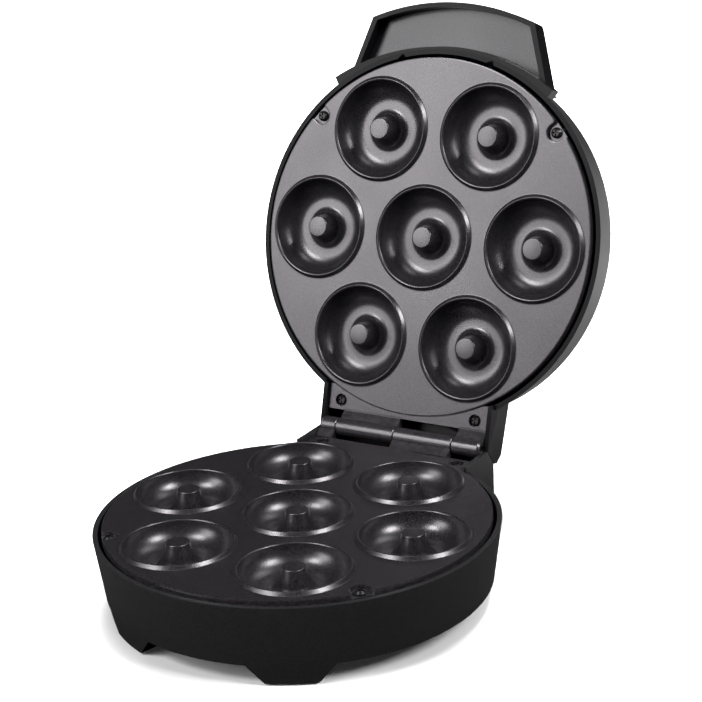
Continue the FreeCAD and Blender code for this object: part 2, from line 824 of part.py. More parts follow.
def thermostat_strap(turn, gap_circle, strap_top):
    """A strip from the plate's centre boss to the thermostat, with two lugs for the fuse."""
    strap = Piece("thermostat_strap", base_placement())
    past_centre, past_thermostat = 7, 8
    half = dim.clamp_width.value / 2
    corner = turn.multVec(Vector(-past_centre, -half, 0))
    length = gap_circle + past_centre + past_thermostat
    thick = dim.clamp_thickness
    strap.box((corner.x, corner.y, strap_top - thick), (length, dim.clamp_width, thick), turn=turn)
    first_lug, second_lug, lug_height = 15, 22.4, 4
    for reach in (first_lug, second_lug):
        lug = turn.multVec(Vector(reach, -half, 0))
        strap.box((lug.x, lug.y, strap_top - lug_height - 1), (thick, dim.clamp_width, lug_height), turn=turn)
    strap.cylinder((0, 0, strap_top - 3), 6, dim.shank_radius + dim.shank_clearance, cut=True)


def thermal_fuse(turn, strap_top):
    """A sleeve between the strap's lugs, with a lead out of each end."""
    fuse = Piece("thermal_fuse", base_placement())
    between_lugs, lead_length = 19.3, 26
    across = Rotation(Vector(0, 0, 1), turn.multVec(Vector(0, -1, 0)))
    level = strap_top - dim.clamp_thickness - dim.fuse_radius - 0.2
    for length, radius in ((dim.fuse_length, dim.fuse_radius), (as_size(lead_length), dim.fuse_lead_radius)):
        start = turn.multVec(Vector(between_lugs, length.value / 2, 0))
        fuse.cylinder((start.x, start.y, level), length, radius, turn=across)


# ---------------------------------------------------------------- base housing

def stop_level(y):
    """Height of the stop face, a plane that leans down from the hinge axis."""
    drop = (y - hinge_y) * tangent(dim.open_angle / 2)
    return dim.half_closing_gap - dim.stop_gap - drop


def base_outer_radius(level):
    share = (-dim.rim_drop - level) / (-dim.rim_drop - foot_level)
    return rim_radius - dim.base_draft * share


def base_shell(piece):
    piece.revolve([
        (0, underside),
        (base_outer_radius(underside), underside),
        (rim_radius, -dim.rim_drop),
        (0, -dim.rim_drop),
    ])
    edge_y = hinge_y + (dim.half_closing_gap - dim.stop_gap - rear_edge_level) / tangent(dim.open_angle / 2)
    piece.across("YZ_Plane", [
        (hinge_y - 40, underside),
        (rear_y - 1.5, underside),
        (rear_y, underside + 1.5),
        (rear_y, stop_level(rear_y)),
        (edge_y, rear_edge_level),
        (hinge_y - 40, rear_edge_level),
    ], extension_outside)
    piece.revolve([
        (0, base_floor),
        (base_outer_radius(base_floor) - dim.wall, base_floor),
        (rim_radius - dim.wall, -dim.rim_drop),
        (rim_radius - dim.wall, 1),
        (0, 1),
    ], cut=True)
    piece.across("YZ_Plane", [
        (hinge_y - 41, base_floor),
        (rear_y - dim.wall, base_floor),
        (rear_y - dim.wall, 1),
        (hinge_y - 41, 1),
    ], extension_inside, cut=True)


def base_feet(piece):
    """Four blocks that carry the wall's taper down to the counter."""
    blocks = []
    for side in (0, 1):
        angles = (dim.foot_first_angle, dim.foot_last_angle)
        corners = [polar(radius, angle) for radius, angle in (
            (dim.foot_inner_radius, angles[0]), (dim.foot_inner_radius, angles[1]),
            (rim_radius + 20, angles[1]), (rim_radius + 20, angles[0]))]
        sign = 1 if side == 0 else -1
        outline = [(x, sign * y) for x, y in corners]
        sketch = piece.sketch("XY_Plane", sized(outline), (0, 0, underside + 1))
        block = piece.body.newObject("PartDesign::Pad", "Foot")
        block.Profile = sketch
        block.Reversed = True
        block.setExpression("Length", (dim.foot_height + 1).text)
        block.setExpression("TaperAngle", (-dim.foot_slope).text)
        blocks.append(block)
    piece.mirror(blocks, "YZ_Plane")
    beyond = rim_radius + 30
    outer_low = rim_radius - dim.base_draft
    cut_top = underside + 2
    piece.revolve([
        (outer_low, foot_level),
        (outer_low, foot_level - 1),
        (beyond, foot_level - 1),
        (beyond, cut_top),
        (base_outer_radius(cut_top), cut_top),
    ], cut=True)


def foot_places():
    radius = (rim_radius + dim.foot_inner_radius) / 2 + 2
    x, y = polar(radius, (dim.foot_first_angle + dim.foot_last_angle) / 2)
    return [(sx * x, sy * y) for sx in (-1, 1) for sy in (-1, 1)]


def base_housing():
    piece = Piece("base_housing", base_placement())
    base_shell(piece)
    base_feet(piece)
    pocket_top = foot_level + dim.pad_thickness - dim.pad_proud
    for x, y in foot_places():
        radius = dim.pad_radius + dim.pad_clearance
        piece.cylinder((x, y, foot_level - 1), pocket_top - foot_level + 1, radius, cut=True)
    for x, y in plate_screw_places:
        piece.cylinder((x, y, base_floor - 1), boss_top - base_floor + 1, dim.boss_radius)
    for x, y in plate_screw_places:
        piece.cylinder((x, y, boss_top - 15), 16, dim.pilot_radius, cut=True)
    cord_fittings_in_base(piece)
    return piece


inner_height = -base_floor
inlet_level = base_floor + dim.inlet_rise_share * inner_height
inlet_bore = dim.inlet_bore_share * inner_height
bush_radius = dim.bush_radius_share * inner_height
bush_flange_radius = dim.bush_flange_share * inner_height


def clamp_posts():
    return [(side * dim.clamp_post_spacing / 2, rear_y - dim.clamp_post_setback) for side in (-1, 1)]


terminal_place = (dim.block_offset, rear_y - dim.block_setback)


block_boss_height = as_size(3)
block_boss_radius = as_size(3.5)


def cord_fittings_in_base(piece):
    """The cord's hole, the cord clamp's posts and the terminal block's boss."""
    along_y = Rotation(Vector(1, 0, 0), -90)
    start = (0, rear_y - dim.wall - 1, inlet_level)
    piece.cylinder(start, dim.wall + 2, bush_radius + dim.bush_clearance, cut=True, turn=along_y)
    post_top = inlet_level - inlet_bore
    for x, y in clamp_posts():
        piece.cylinder((x, y, base_floor - 1), post_top - base_floor + 1, dim.clamp_post_radius)
        piece.cylinder((x, y, base_floor - 0.5), post_top - base_floor + 1, dim.small_pilot_radius, cut=True)
    x, y = terminal_place
    piece.cylinder((x, y, base_floor - 1), block_boss_height + 1, block_boss_radius)
    piece.cylinder((x, y, base_floor - 1), block_boss_height + 2, dim.small_pilot_radius, cut=True)


def rubber_feet():
    piece = Piece("rubber_feet", base_placement())
    for x, y in foot_places():
        piece.revolve([
            (0, -dim.closing_height),
            (dim.pad_radius - 0.5, -dim.closing_height),
            (dim.pad_radius, 0.5 - dim.closing_height),
            (dim.pad_radius, dim.pad_thickness - dim.closing_height),
            (0, dim.pad_thickness - dim.closing_height),
        ], at=(x, y))


def cord_inlet_bush():
    """A flanged bush in the rear wall; its bore takes the mains cord."""
    piece = Piece("cord_inlet_bush", base_placement())
    along_y = Rotation(Vector(1, 0, 0), -90)
    inside = rear_y - dim.wall - 2
    level = inlet_level
    piece.cylinder((0, inside, level), dim.wall + 2, bush_radius, turn=along_y)
    piece.cylinder((0, rear_y, level), dim.bush_flange, bush_flange_radius, turn=along_y)
    piece.cylinder((0, inside - 1, level), dim.wall + 6, inlet_bore, cut=True, turn=along_y)


def cord_clamp():
    """The bar that grips the cord inside the base, and its two screws."""
    (left, y), (right, _) = clamp_posts()
    seat = inlet_level - inlet_bore
    end, thick = dim.clamp_bar_end, dim.clamp_bar_thickness
    bar = Piece("cord_clamp", base_placement())
    bar.box((left - end, y - end, seat), (right - left + 2 * end, 2 * end, thick))
    tooth_inset, tooth_width, tooth_height = end + 0.5, 3, 0.8
    tooth = (right - left - 2 * tooth_inset, tooth_width, tooth_height + 0.2)
    bar.box((left + tooth_inset, y - tooth_width / 2, seat - tooth_height), tooth)
    screws = Piece("cord_clamp_screws", base_placement())
    for x in (left, right):
        bar.cylinder((x, y, seat - 1), thick + 2.5, dim.small_shank_radius + 0.4, cut=True)
        small_screw(screws, x, y, seat + thick, 5.6)


def small_screw(piece, x, y, seat, length):
    """A pan-head screw for the cord clamp and the terminal block."""
    shank, head, height = dim.small_shank_radius, dim.small_head_radius, dim.small_head_height
    side = seat + height * HEAD_SIDE
    piece.revolve([
        (0, seat - length),
        (shank, seat - length),
        (shank, seat),
        (head, seat),
        (head, side),
        (head * HEAD_CROWN, seat + height),
        (0, seat + height),
    ], at=(x, y))
    long_side, short_side = head * CROSS_LENGTH, head * CROSS_WIDTH
    for width, depth in ((long_side, short_side), (short_side, long_side)):
        piece.box((x - width / 2, y - depth / 2, side), (width, depth, height), cut=True)


def terminal_block():
    """A ceramic two-way block where the cord's cores meet the appliance's leads."""
    x, y = terminal_place
    length, width = dim.block_length, dim.block_width
    height = (-dim.cavity_depth - dim.cast_wall - base_floor) * dim.block_share
    head_seat = height - dim.small_head_height - 1.3
    block = Piece("terminal_block", base_placement())
    block.box((x - length / 2, y - width / 2, base_floor), (length, width, height))
    boss_room = 0.2
    recess_height = block_boss_height + boss_room + 1
    block.cylinder((x, y, base_floor - 1), recess_height, block_boss_radius + boss_room, cut=True)
    block.cylinder((x, y, base_floor - 1), height + 2, dim.small_shank_radius + 0.3, cut=True)
    block.cylinder((x, y, base_floor + head_seat), height, dim.small_head_radius + 0.5, cut=True)
    along_y = Rotation(Vector(1, 0, 0), -90)
    way_level = base_floor + height * 0.455
    for side in (-1, 1):
        way_x = x + side * dim.block_pitch / 2
        front = (way_x, y - width / 2 - 1, way_level)
        block.cylinder(front, width + 2, dim.block_bore, cut=True, turn=along_y)
        for row in (-1, 1):
            screw_hole = (way_x, y + row * width / 4, way_level + dim.block_bore)
            block.cylinder(screw_hole, height, dim.block_bore - 0.2, cut=True)
    screw = Piece("terminal_block_screw", base_placement())
    small_screw(screw, x, y, base_floor + head_seat, head_seat + 0.5)


# ---------------------------------------------------------------- lid

def lid_outer():
    """The lid's outside from the rim to the crown."""
    shoulder = rim_radius - dim.lid_draft
    return [
        (shoulder, -dim.lid_shoulder_depth),
        (shoulder - dim.lid_shoulder_width, -dim.lid_top_depth),
    ]


def lid_shell(piece):
    (shoulder, shoulder_z), (corner, corner_z) = lid_outer()
    crown_z = -dim.lid_top_depth - dim.lid_crown
    piece.revolve([
        (0, crown_z),
        (corner, corner_z),
        (shoulder, shoulder_z),
        (rim_radius, -dim.rim_drop),
        (0, -dim.rim_drop),
    ])
    edge_y = hinge_y + (dim.half_closing_gap - dim.stop_gap - rear_edge_level) / tangent(dim.open_angle / 2)
    piece.across("YZ_Plane", rear_box_outline(edge_y), extension_outside)
    piece.round_edges(is_lid_corner, dim.lid_round)
    wall = dim.wall
    piece.revolve([
        (0, crown_z + wall),
        (corner - 1, corner_z + wall),
        (shoulder - wall, shoulder_z + 1),
        (rim_radius - wall, -dim.rim_drop),
        (rim_radius - wall, 1),
        (0, 1),
    ], cut=True)
    start_y = hinge_y - 41
    top = -dim.lid_rear_height
    piece.across("YZ_Plane", [
        (start_y, 1),
        (start_y, rear_top_level(start_y) + wall),
        (rear_y - dim.lid_rear_round, top + wall),
        (rear_y - wall, top + dim.lid_rear_round),
        (rear_y - wall, 1),
    ], extension_inside, cut=True)


def rear_top_level(y):
    """Outside of the lid's rear box, which rises gently towards the crown."""
    return -dim.lid_rear_height - dim.lid_rear_rise / dim.lid_rear_run * (rear_y - y)


def rear_box_outline(edge_y):
    top = -dim.lid_rear_height
    start_y = hinge_y - 40
    return [
        (start_y, rear_edge_level),
        (start_y, rear_top_level(start_y)),
        (rear_y - dim.lid_rear_round, top),
        (rear_y, top + dim.lid_rear_round),
        (rear_y, stop_level(rear_y)),
        (edge_y, rear_edge_level),
    ]


def is_lid_corner(edge):
    """The two round edges between the lid's side and its crown."""
    if not isinstance(edge.Curve, Part.Circle):
        return False
    levels = [point[1].value for point in lid_outer()]
    centred = abs(edge.Curve.Center.x) < 0.01 and abs(edge.Curve.Center.y) < 0.01
    return centred and any(abs(edge.Curve.Center.z - level) < 0.01 for level in levels)


def lens_places():
    y = -(rim_radius - dim.lens_setback)
    return [(-dim.lens_spacing / 2, y), (dim.lens_spacing / 2, y)]


def crown_level(y):
    """The crown's outside height on the middle plane."""
    corner = lid_outer()[1][0]
    return -dim.lid_top_depth - dim.lid_crown * (corner + y) / corner


def lid_cover():
    piece = Piece("lid_cover", lid_placement())
    lid_shell(piece)
    for x, y in plate_screw_places[:2]:
        piece.cylinder((x, y, -dim.lid_shoulder_depth + 2), dim.lid_shoulder_depth - 2 + boss_top,
                       dim.boss_radius)
    for x, y in plate_screw_places[2:]:
        depth = dim.lid_rear_height + dim.lid_rear_rise / 3
        piece.cylinder((x, y, -depth), depth + boss_top, dim.boss_radius)
    for x, y in plate_screw_places:
        piece.cylinder((x, y, boss_top - 5.5), 6.5, dim.pilot_radius, cut=True)
    for x, y in plate_screw_places[:2]:
        piece.cylinder((x, y, boss_top - 12.5), 13, dim.pilot_radius, cut=True)
    for x, y in lens_places():
        piece.cylinder((x, y, crown_level(y) - 2), 8, dim.lens_radius + dim.lens_gap, cut=True)
    along_y = Rotation(Vector(1, 0, 0), -90)
    for side in (-1, 1):
        x = side * dim.handle_screw_spread
        pad_start = wall_y_at_screw() + dim.wall
        piece.cylinder((x, pad_start, -dim.handle_screw_depth), handle_seat_y() - pad_start, 4,
                       turn=along_y)
        piece.cylinder((x, wall_y_at_screw() - 6, -dim.handle_screw_depth), 16,
                       dim.shank_radius + dim.shank_clearance, cut=True, turn=along_y)
    return piece


def wall_radius_at_screw():
    """The lid's outer radius at the handle screws' height."""
    share = (dim.handle_screw_depth - dim.rim_drop) / (dim.lid_shoulder_depth - dim.rim_drop)
    return rim_radius - dim.lid_draft * share


def wall_y_at_screw():
    radius = wall_radius_at_screw()
    spread = dim.handle_screw_spread
    return -root(radius * radius - spread * spread)


def handle_seat_y():
    return wall_y_at_screw() + 6


# ---------------------------------------------------------------- handle

def handle_outline(back):
    """Plan of the handle: a front arc about the lid's centre and flared sides."""
    front_radius = rim_radius + dim.handle_reach
    half_front = dim.handle_half_front
    half_back = dim.handle_half_back
    front_y = -root(front_radius * front_radius - half_front * half_front)
    return [
        (-half_front, front_y, front_radius),
        (half_front, front_y),
        (half_back, -back),
        (-half_back, -back),
    ]


def handle():
    piece = Piece("handle", lid_placement())
    height = -dim.handle_mouth_depth
    top = -dim.handle_top_depth
    back_radius = rim_radius - dim.handle_bite
    back = root(back_radius * back_radius - dim.handle_half_back * dim.handle_half_back)
    piece.extrude(handle_outline(back), top, height)
    collar(piece)
    inner_floor = -dim.handle_floor_depth - dim.insert_thickness
    piece.extrude(trough_outline(dim.handle_wall), inner_floor, height, cut=True)
    lid_side(piece, rim_radius, dim.lid_draft)
    along_y = Rotation(Vector(1, 0, 0), 90)
    for side in (-1, 1):
        x = side * dim.handle_screw_spread
        start = (x, wall_y_at_screw() + 1, -dim.handle_screw_depth)
        piece.cylinder(start, 4.2, dim.pilot_radius, cut=True, turn=along_y)
    piece.round_edges(is_handle_top, dim.handle_round)
    return piece


def is_handle_top(edge):
    """Outer edges of the handle's top face, away from the lid."""
    box = edge.BoundBox
    flat = abs(box.ZMin + dim.handle_top_depth.value) < 0.01 and abs(box.ZMax - box.ZMin) < 0.01
    return flat and edge.CenterOfMass.y < -rim_radius.value - 2


def trough_outline(inset):
    """Plan of the finger trough: the handle's plan less its wall, up to the near wall's arc."""
    front_radius = rim_radius + dim.handle_reach - inset
    half_front = dim.handle_half_front - inset
    back_radius = rim_radius + dim.trough_back + (inset - dim.handle_wall)
    half_back = dim.handle_half_back - inset - 2.6
    front_y = -root(front_radius * front_radius - half_front * half_front)
    back_y = -root(back_radius * back_radius - half_back * half_back)
    return [
        (-half_front, front_y, front_radius),
        (half_front, front_y),
        (half_back, back_y, -back_radius),
        (-half_back, back_y),
    ]


def collar(piece):
    """The crescent at the lid's rim, thin in the middle and pointed at both ends."""
    front_y = -(rim_radius + dim.collar_front)
    tip_radius = rim_radius + dim.collar_tip_gap
    tip = root(tip_radius * tip_radius - dim.collar_half * dim.collar_half)
    sagitta = -front_y - tip
    radius = (dim.collar_half * dim.collar_half + sagitta * sagitta) / (2 * sagitta)
    inner = rim_radius - dim.collar_bite
    inner_half = dim.collar_half - dim.collar_tip_width
    inner_y = -root(inner * inner - inner_half * inner_half)
    piece.extrude([
        (-dim.collar_half, -tip, radius),
        (dim.collar_half, -tip),
        (inner_half, inner_y, -inner),
        (-inner_half, inner_y),
    ], -dim.rim_drop - dim.collar_depth, -dim.rim_drop)


def lid_side(piece, radius, draft):
    """Take the lid's own body out of a piece that sits against its side."""
    top = -dim.handle_top_depth - 2
    share = (dim.handle_top_depth + 2 - dim.rim_drop) / (dim.lid_shoulder_depth - dim.rim_drop)
    piece.revolve([
        (0, top),
        (radius - draft * share, top),
        (radius, -dim.rim_drop),
        (radius, 1),
        (0, 1),
    ], cut=True)


def handle_insert():
    """The satin panel on the trough's floor."""
    piece = Piece("handle_insert", lid_placement())
    bottom = -dim.handle_floor_depth - dim.insert_thickness
    piece.extrude(trough_outline(dim.handle_wall + dim.insert_clearance), bottom, -dim.handle_floor_depth)


def handle_screws():
    """Two screws from inside the lid into the handle's near wall."""
    piece = Piece("handle_screws", lid_placement())
    outward = Rotation(Vector(1, 0, 0), 90)
    for side in (-1, 1):
        x = side * dim.handle_screw_spread
        seat = handle_seat_y()
        level = -dim.handle_screw_depth
        reach = seat - wall_y_at_screw() + 2.8
        piece.cylinder((x, seat, level), reach, dim.shank_radius, turn=outward)
        piece.cylinder((x, seat + dim.head_height, level), dim.head_height, dim.head_radius, turn=outward)
        long_side, short_side = dim.head_radius * CROSS_LENGTH, dim.head_radius * CROSS_WIDTH
        for wide, high in ((long_side, short_side), (short_side, long_side)):
            start = (x - wide / 2, seat + dim.head_height - 1, level - high / 2)
            piece.box(start, (wide, 2, high), cut=True)


def lid_lights():
    """Two indicator lenses, their neon lamps and the holder that carries the lamps."""
    labels = ("power_lens", "ready_lens")
    for label, (x, y) in zip(labels, lens_places()):
        outside = crown_level(y)
        lens = Piece(label, lid_placement())
        lens.revolve([
            (0, outside - 1.2),
            (dim.lens_radius - 1, outside - 1.0),
            (dim.lens_radius, outside - 0.2),
            (dim.lens_radius, outside + 4),
            (dim.lens_radius - 1, outside + 4),
            (dim.lens_radius - 1, outside + 1),
            (0, outside + 1),
        ], at=(x, y))
    y = lens_places()[0][1]
    inside = crown_level(y) + dim.wall + 2.5
    holder = Piece("lamp_holder", lid_placement())
    half, past_lamp = dim.lens_spacing / 2, 7
    near = y - dim.holder_width / 2
    size = (dim.lens_spacing + 2 * past_lamp, dim.holder_width, dim.holder_thickness)
    holder.box((-half - past_lamp, near, inside), size)
    foot_height, foot_width = 2.3, 2
    for side in (-1, 1):
        foot_x = side * (half + past_lamp - foot_width / 2) - foot_width / 2
        holder.box((foot_x, near, inside - foot_height), (foot_width, dim.holder_width, foot_height + 0.1))
    lamps = Piece("neon_lamps", lid_placement())
    for x, _ in lens_places():
        holder.cylinder((x, y, inside - 1), dim.holder_thickness + 2, dim.lamp_radius + 0.1, cut=True)
        lamps.cylinder((x, y, inside - 2.5), dim.lamp_length, dim.lamp_radius)


# ---------------------------------------------------------------- the whole machine

def build():
    base_knuckles, lid_knuckles = knuckle_spans()
    halves = (("lower", base_placement(), base_knuckles), ("upper", lid_placement(), lid_knuckles))
    base_housing()
    rubber_feet()
    lid_cover()
    handle()
    handle_insert()
    handle_screws()
    lid_lights()
    for name, placement, knuckles in halves:
        cooking_plate(f"{name}_plate", placement, knuckles)
        plate_screws(f"{name}_plate_screws", placement)
        plate_spacers(f"{name}_plate_spacers", placement)
        heating_element(f"{name}_heating_element", placement)
        element_clamps(f"{name}_element_clamps", placement)
        clamp_screws(f"{name}_clamp_screws", placement)
    hinge_pin()
    thermostat_group()
    cord_inlet_bush()
    cord_clamp()
    terminal_block()


def check_and_write():
    doc.recompute()
    failed = [item.Name for item in doc.Objects if {"Invalid", "Error"} & set(item.State)]
    if failed:
        raise RuntimeError(f"features failed: {failed}")
    pieces = [item for item in doc.Objects if item.isDerivedFrom("PartDesign::Body")]
    for item in pieces:
        shape = item.Shape
        if shape.isNull() or not shape.isValid() or not shape.Solids:
            raise RuntimeError(f"{item.Label} has no sound shape")
    os.makedirs("parts", exist_ok=True)
    for item in pieces:
        item.Shape.exportStep(f"parts/{item.Label}.step")
        volume = item.Shape.Volume / 1000
        print(f"{item.Label}: {len(item.Shape.Solids)} solids, {volume:.2f} cm3")


build()
check_and_write()
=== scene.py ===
# %% [markdown]
# # A seven-ring donut maker
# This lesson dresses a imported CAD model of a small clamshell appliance. The CAD model is the frame:
# its two bodies, its sizes and its hinge are fixed, and every piece made below is fitted to them.
# Lengths are in metres. Each step first says what the piece is on the real appliance, then how it
# could be made, and why this way was chosen.

# %% Load the frame
import json
import math

import bmesh
import bpy
from mathutils import Matrix, Vector


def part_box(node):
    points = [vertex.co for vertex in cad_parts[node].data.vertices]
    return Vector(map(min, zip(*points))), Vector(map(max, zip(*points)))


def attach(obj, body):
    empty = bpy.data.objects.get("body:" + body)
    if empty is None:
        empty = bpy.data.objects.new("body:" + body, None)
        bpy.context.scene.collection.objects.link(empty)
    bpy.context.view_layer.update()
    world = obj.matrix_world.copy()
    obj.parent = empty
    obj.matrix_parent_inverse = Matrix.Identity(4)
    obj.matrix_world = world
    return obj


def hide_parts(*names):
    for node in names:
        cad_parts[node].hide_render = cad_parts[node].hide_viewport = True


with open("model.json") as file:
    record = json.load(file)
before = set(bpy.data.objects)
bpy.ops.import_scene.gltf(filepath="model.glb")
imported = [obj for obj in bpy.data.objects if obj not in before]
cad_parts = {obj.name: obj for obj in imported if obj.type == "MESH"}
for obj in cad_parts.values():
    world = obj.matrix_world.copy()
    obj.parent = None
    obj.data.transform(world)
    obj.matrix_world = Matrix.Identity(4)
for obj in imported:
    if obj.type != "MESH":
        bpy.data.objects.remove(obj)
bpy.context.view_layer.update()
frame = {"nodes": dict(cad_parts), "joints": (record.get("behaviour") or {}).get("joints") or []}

MM = 0.001
nodes = frame["nodes"]

# %% [markdown]
# ## Two half frames
# The base and the lid are the same clamshell half, made twice. Both are described in one half
# frame: the closing plane is z = 0, the housing lies below it and the hinge is on the +y side. The
# base only has to be lifted to its height above the counter. The lid is turned over, laid on the
# base and swung open about the hinge, which is how a real lid gets where it is.

# %% Half frames
HALF_CLOSING_GAP = 0.15 * MM
joint = frame["joints"][0]
hinge = Vector(joint["pos_m"])
open_angle = math.radians(joint["range_deg"][1])
closing_height = hinge.z - HALF_CLOSING_GAP

to_base = Matrix.Translation((0, 0, closing_height))
lay_on_base = Matrix.Translation((0, 0, 2 * hinge.z - closing_height)) @ Matrix.Rotation(math.pi, 4, "Y")
swing_open = Matrix.Translation(hinge) @ Matrix.Rotation(-open_angle, 4, "X") @ Matrix.Translation(-hinge)
to_lid = swing_open @ lay_on_base
print("closing plane at", round(closing_height, 4), "open by", round(math.degrees(open_angle), 1))

# %% [markdown]
# ## Camera
# The camera stands in front of the appliance, to its right and a little above, far enough away for
# a long lens, so that the round plates don't look stretched.

# %% Camera
CAMERA_TURN = math.radians(30.56)
CAMERA_HEIGHT = math.radians(18.50)
CAMERA_ROLL = math.radians(-2.49)
CAMERA_DISTANCE = 914.6 * MM
CAMERA_ASIDE = 26.58 * MM
CAMERA_ABOVE = 78.26 * MM
CAMERA_LENS = 94.98
SENSOR = 36


def add_camera():
    back = Vector((math.sin(CAMERA_TURN) * math.cos(CAMERA_HEIGHT),
                   -math.cos(CAMERA_TURN) * math.cos(CAMERA_HEIGHT),
                   math.sin(CAMERA_HEIGHT)))
    right = Vector((math.cos(CAMERA_TURN), math.sin(CAMERA_TURN), 0))
    up = back.cross(right)
    roll = Matrix.Rotation(CAMERA_ROLL, 3, back)
    right, up = roll @ right, roll @ up
    camera = bpy.data.objects.new("camera", bpy.data.cameras.new("camera"))
    camera.data.lens = CAMERA_LENS
    camera.data.sensor_width = SENSOR
    place = right * CAMERA_ASIDE + up * CAMERA_ABOVE + back * CAMERA_DISTANCE
    axes = Matrix((right, up, back)).transposed().to_4x4()
    camera.matrix_world = Matrix.Translation(place + Vector((0, 0, closing_height))) @ axes
    bpy.context.scene.collection.objects.link(camera)
    bpy.context.scene.camera = camera
    return camera


camera = add_camera()
print("camera at", [round(value, 3) for value in camera.matrix_world.translation])

# %% [markdown]
# ## Room
# A dark, half-gloss product is drawn by what it reflects, so the lights are placed as mirrors ask:
# a soft box low in front on the left, where the open lid's flat plate looks, and one more on each
# side, which put two soft spots in each cavity of the lower plate. A weak one overhead and one
# behind draw the upper edges. The rest of the room is dim.

# %% Lights
MIDDLE = Vector((0, 0.06, 0.12))


def soft_light(name, turn, height, distance, size, power):
    """An area light given by its compass turn from the front, its height angle and its distance."""
    turn, height = math.radians(turn), math.radians(height)
    way = Vector((math.sin(turn) * math.cos(height), -math.cos(turn) * math.cos(height), math.sin(height)))
    light = bpy.data.lights.new(name, "AREA")
    light.shape = "RECTANGLE"
    light.size, light.size_y = size
    light.energy = power
    item = bpy.data.objects.new(name, light)
    item.location = MIDDLE + way * distance
    item.rotation_euler = (-way).to_track_quat("-Z", "Y").to_euler()
    bpy.context.scene.collection.objects.link(item)
    return item


soft_light("front_left_light", -33, 20, 2.3, (1.0, 1.0), 20)
soft_light("left_light", -24, 44, 2.2, (0.6, 0.6), 26)
soft_light("right_light", 88, 40, 2.2, (0.75, 0.75), 40)
soft_light("overhead_light", 10, 78, 2.0, (0.5, 0.5), 3)
soft_light("back_light", 150, 50, 2.2, (0.9, 0.9), 7)
floor_light = soft_light("floor_light", 190, 76, 2.4, (1.4, 1.4), 150)

# %% [markdown]
# Node trees turn up in the floor, the finishes and the plates. Two helpers write them shortly: a
# node gets its socket values by name, and a pair of a node and its output's name makes a link.

# %% Node helpers


def add_node(tree, kind, settings=None, **values):
    """A node with its socket values given by name. A tuple of node and output makes a link."""
    node = tree.nodes.new(kind)
    for name, value in (settings or {}).items():
        setattr(node, name, value)
    for name, value in values.items():
        plug(tree, node, name.replace("_", " "), value)
    return node


def plug(tree, node, name, value):
    socket = node.inputs[int(name) if name.isdigit() else name]
    if isinstance(value, tuple) and isinstance(value[0], bpy.types.Node):
        tree.links.new(value[0].outputs[value[1]], socket)
    else:
        socket.default_value = value


print("node helpers ready")

# %% [markdown]
# The floor is a wide sheet of paper. Near the appliance it is lit by its own lamp, which is linked
# to it alone, so the soft shadow under the feet can be set without changing the plates. Further
# off it glows to the camera and stays white up to the horizon. To everything else the paper in
# front is nearly black, as a flagged studio floor is, and the paper behind is grey.

# %% Floor and room
FLOOR_HALF = 30.0
FLOOR_WHITE = 0.95
FLOOR_ROUGHNESS = 0.9
FLOOR_GLOSS = 0.1
FLOOR_SEEN_IN_FRONT, FLOOR_SEEN_BEHIND = 0.02, 0.50
BEHIND_START, BEHIND_END = 0.15, 0.50
GLOW_NEAR, GLOW_FAR = 0.02, 1.2
GLOW_START, GLOW_END = 0.25, 1.2
ROOM_LIGHT, ROOM_SEEN = 0.035, 1.0
WHITE = (1, 1, 1, 1)


def floor_paper():
    material = bpy.data.materials.new("floor_paper")
    material.use_nodes = True
    tree = material.node_tree
    shader = tree.nodes["Principled BSDF"]
    path = add_node(tree, "ShaderNodeLightPath")
    place = add_node(tree, "ShaderNodeTexCoord")
    parts = add_node(tree, "ShaderNodeSeparateXYZ", Vector=(place, "Object"))
    seen = add_node(tree, "ShaderNodeMapRange", Value=(parts, "Y"), From_Min=BEHIND_START, From_Max=BEHIND_END,
                    To_Min=FLOOR_SEEN_IN_FRONT, To_Max=FLOOR_SEEN_BEHIND)
    shade = add_node(tree, "ShaderNodeMapRange", Value=(path, "Is Camera Ray"), To_Min=(seen, "Result"),
                     To_Max=FLOOR_WHITE)
    reach = add_node(tree, "ShaderNodeVectorMath", {"operation": "LENGTH"}, Vector=(place, "Object"))
    glow = add_node(tree, "ShaderNodeMapRange", Value=(reach, "Value"), From_Min=GLOW_START, From_Max=GLOW_END,
                    To_Min=GLOW_NEAR, To_Max=GLOW_FAR)
    lift = add_node(tree, "ShaderNodeMath", {"operation": "MULTIPLY"})
    plug(tree, lift, "0", (path, "Is Camera Ray"))
    plug(tree, lift, "1", (glow, "Result"))
    for name, value in (("Base Color", (shade, "Result")), ("Roughness", FLOOR_ROUGHNESS),
                        ("Specular IOR Level", FLOOR_GLOSS), ("Emission Color", WHITE),
                        ("Emission Strength", (lift, "Value"))):
        plug(tree, shader, name, value)
    return material


def add_floor():
    mesh = bpy.data.meshes.new("floor")
    corners = [(-1, -1), (1, -1), (1, 1), (-1, 1)]
    mesh.from_pydata([(x * FLOOR_HALF, y * FLOOR_HALF, 0) for x, y in corners], [], [(0, 1, 2, 3)])
    floor = bpy.data.objects.new("floor", mesh)
    bpy.context.scene.collection.objects.link(floor)
    mesh.materials.append(floor_paper())
    return floor


def add_room():
    room = bpy.data.worlds.new("room")
    room.use_nodes = True
    tree = room.node_tree
    path = add_node(tree, "ShaderNodeLightPath")
    strength = add_node(tree, "ShaderNodeMapRange", Value=(path, "Is Camera Ray"), To_Min=ROOM_LIGHT,
                        To_Max=ROOM_SEEN)
    plug(tree, tree.nodes["Background"], "Color", WHITE)
    plug(tree, tree.nodes["Background"], "Strength", (strength, "Result"))
    return room


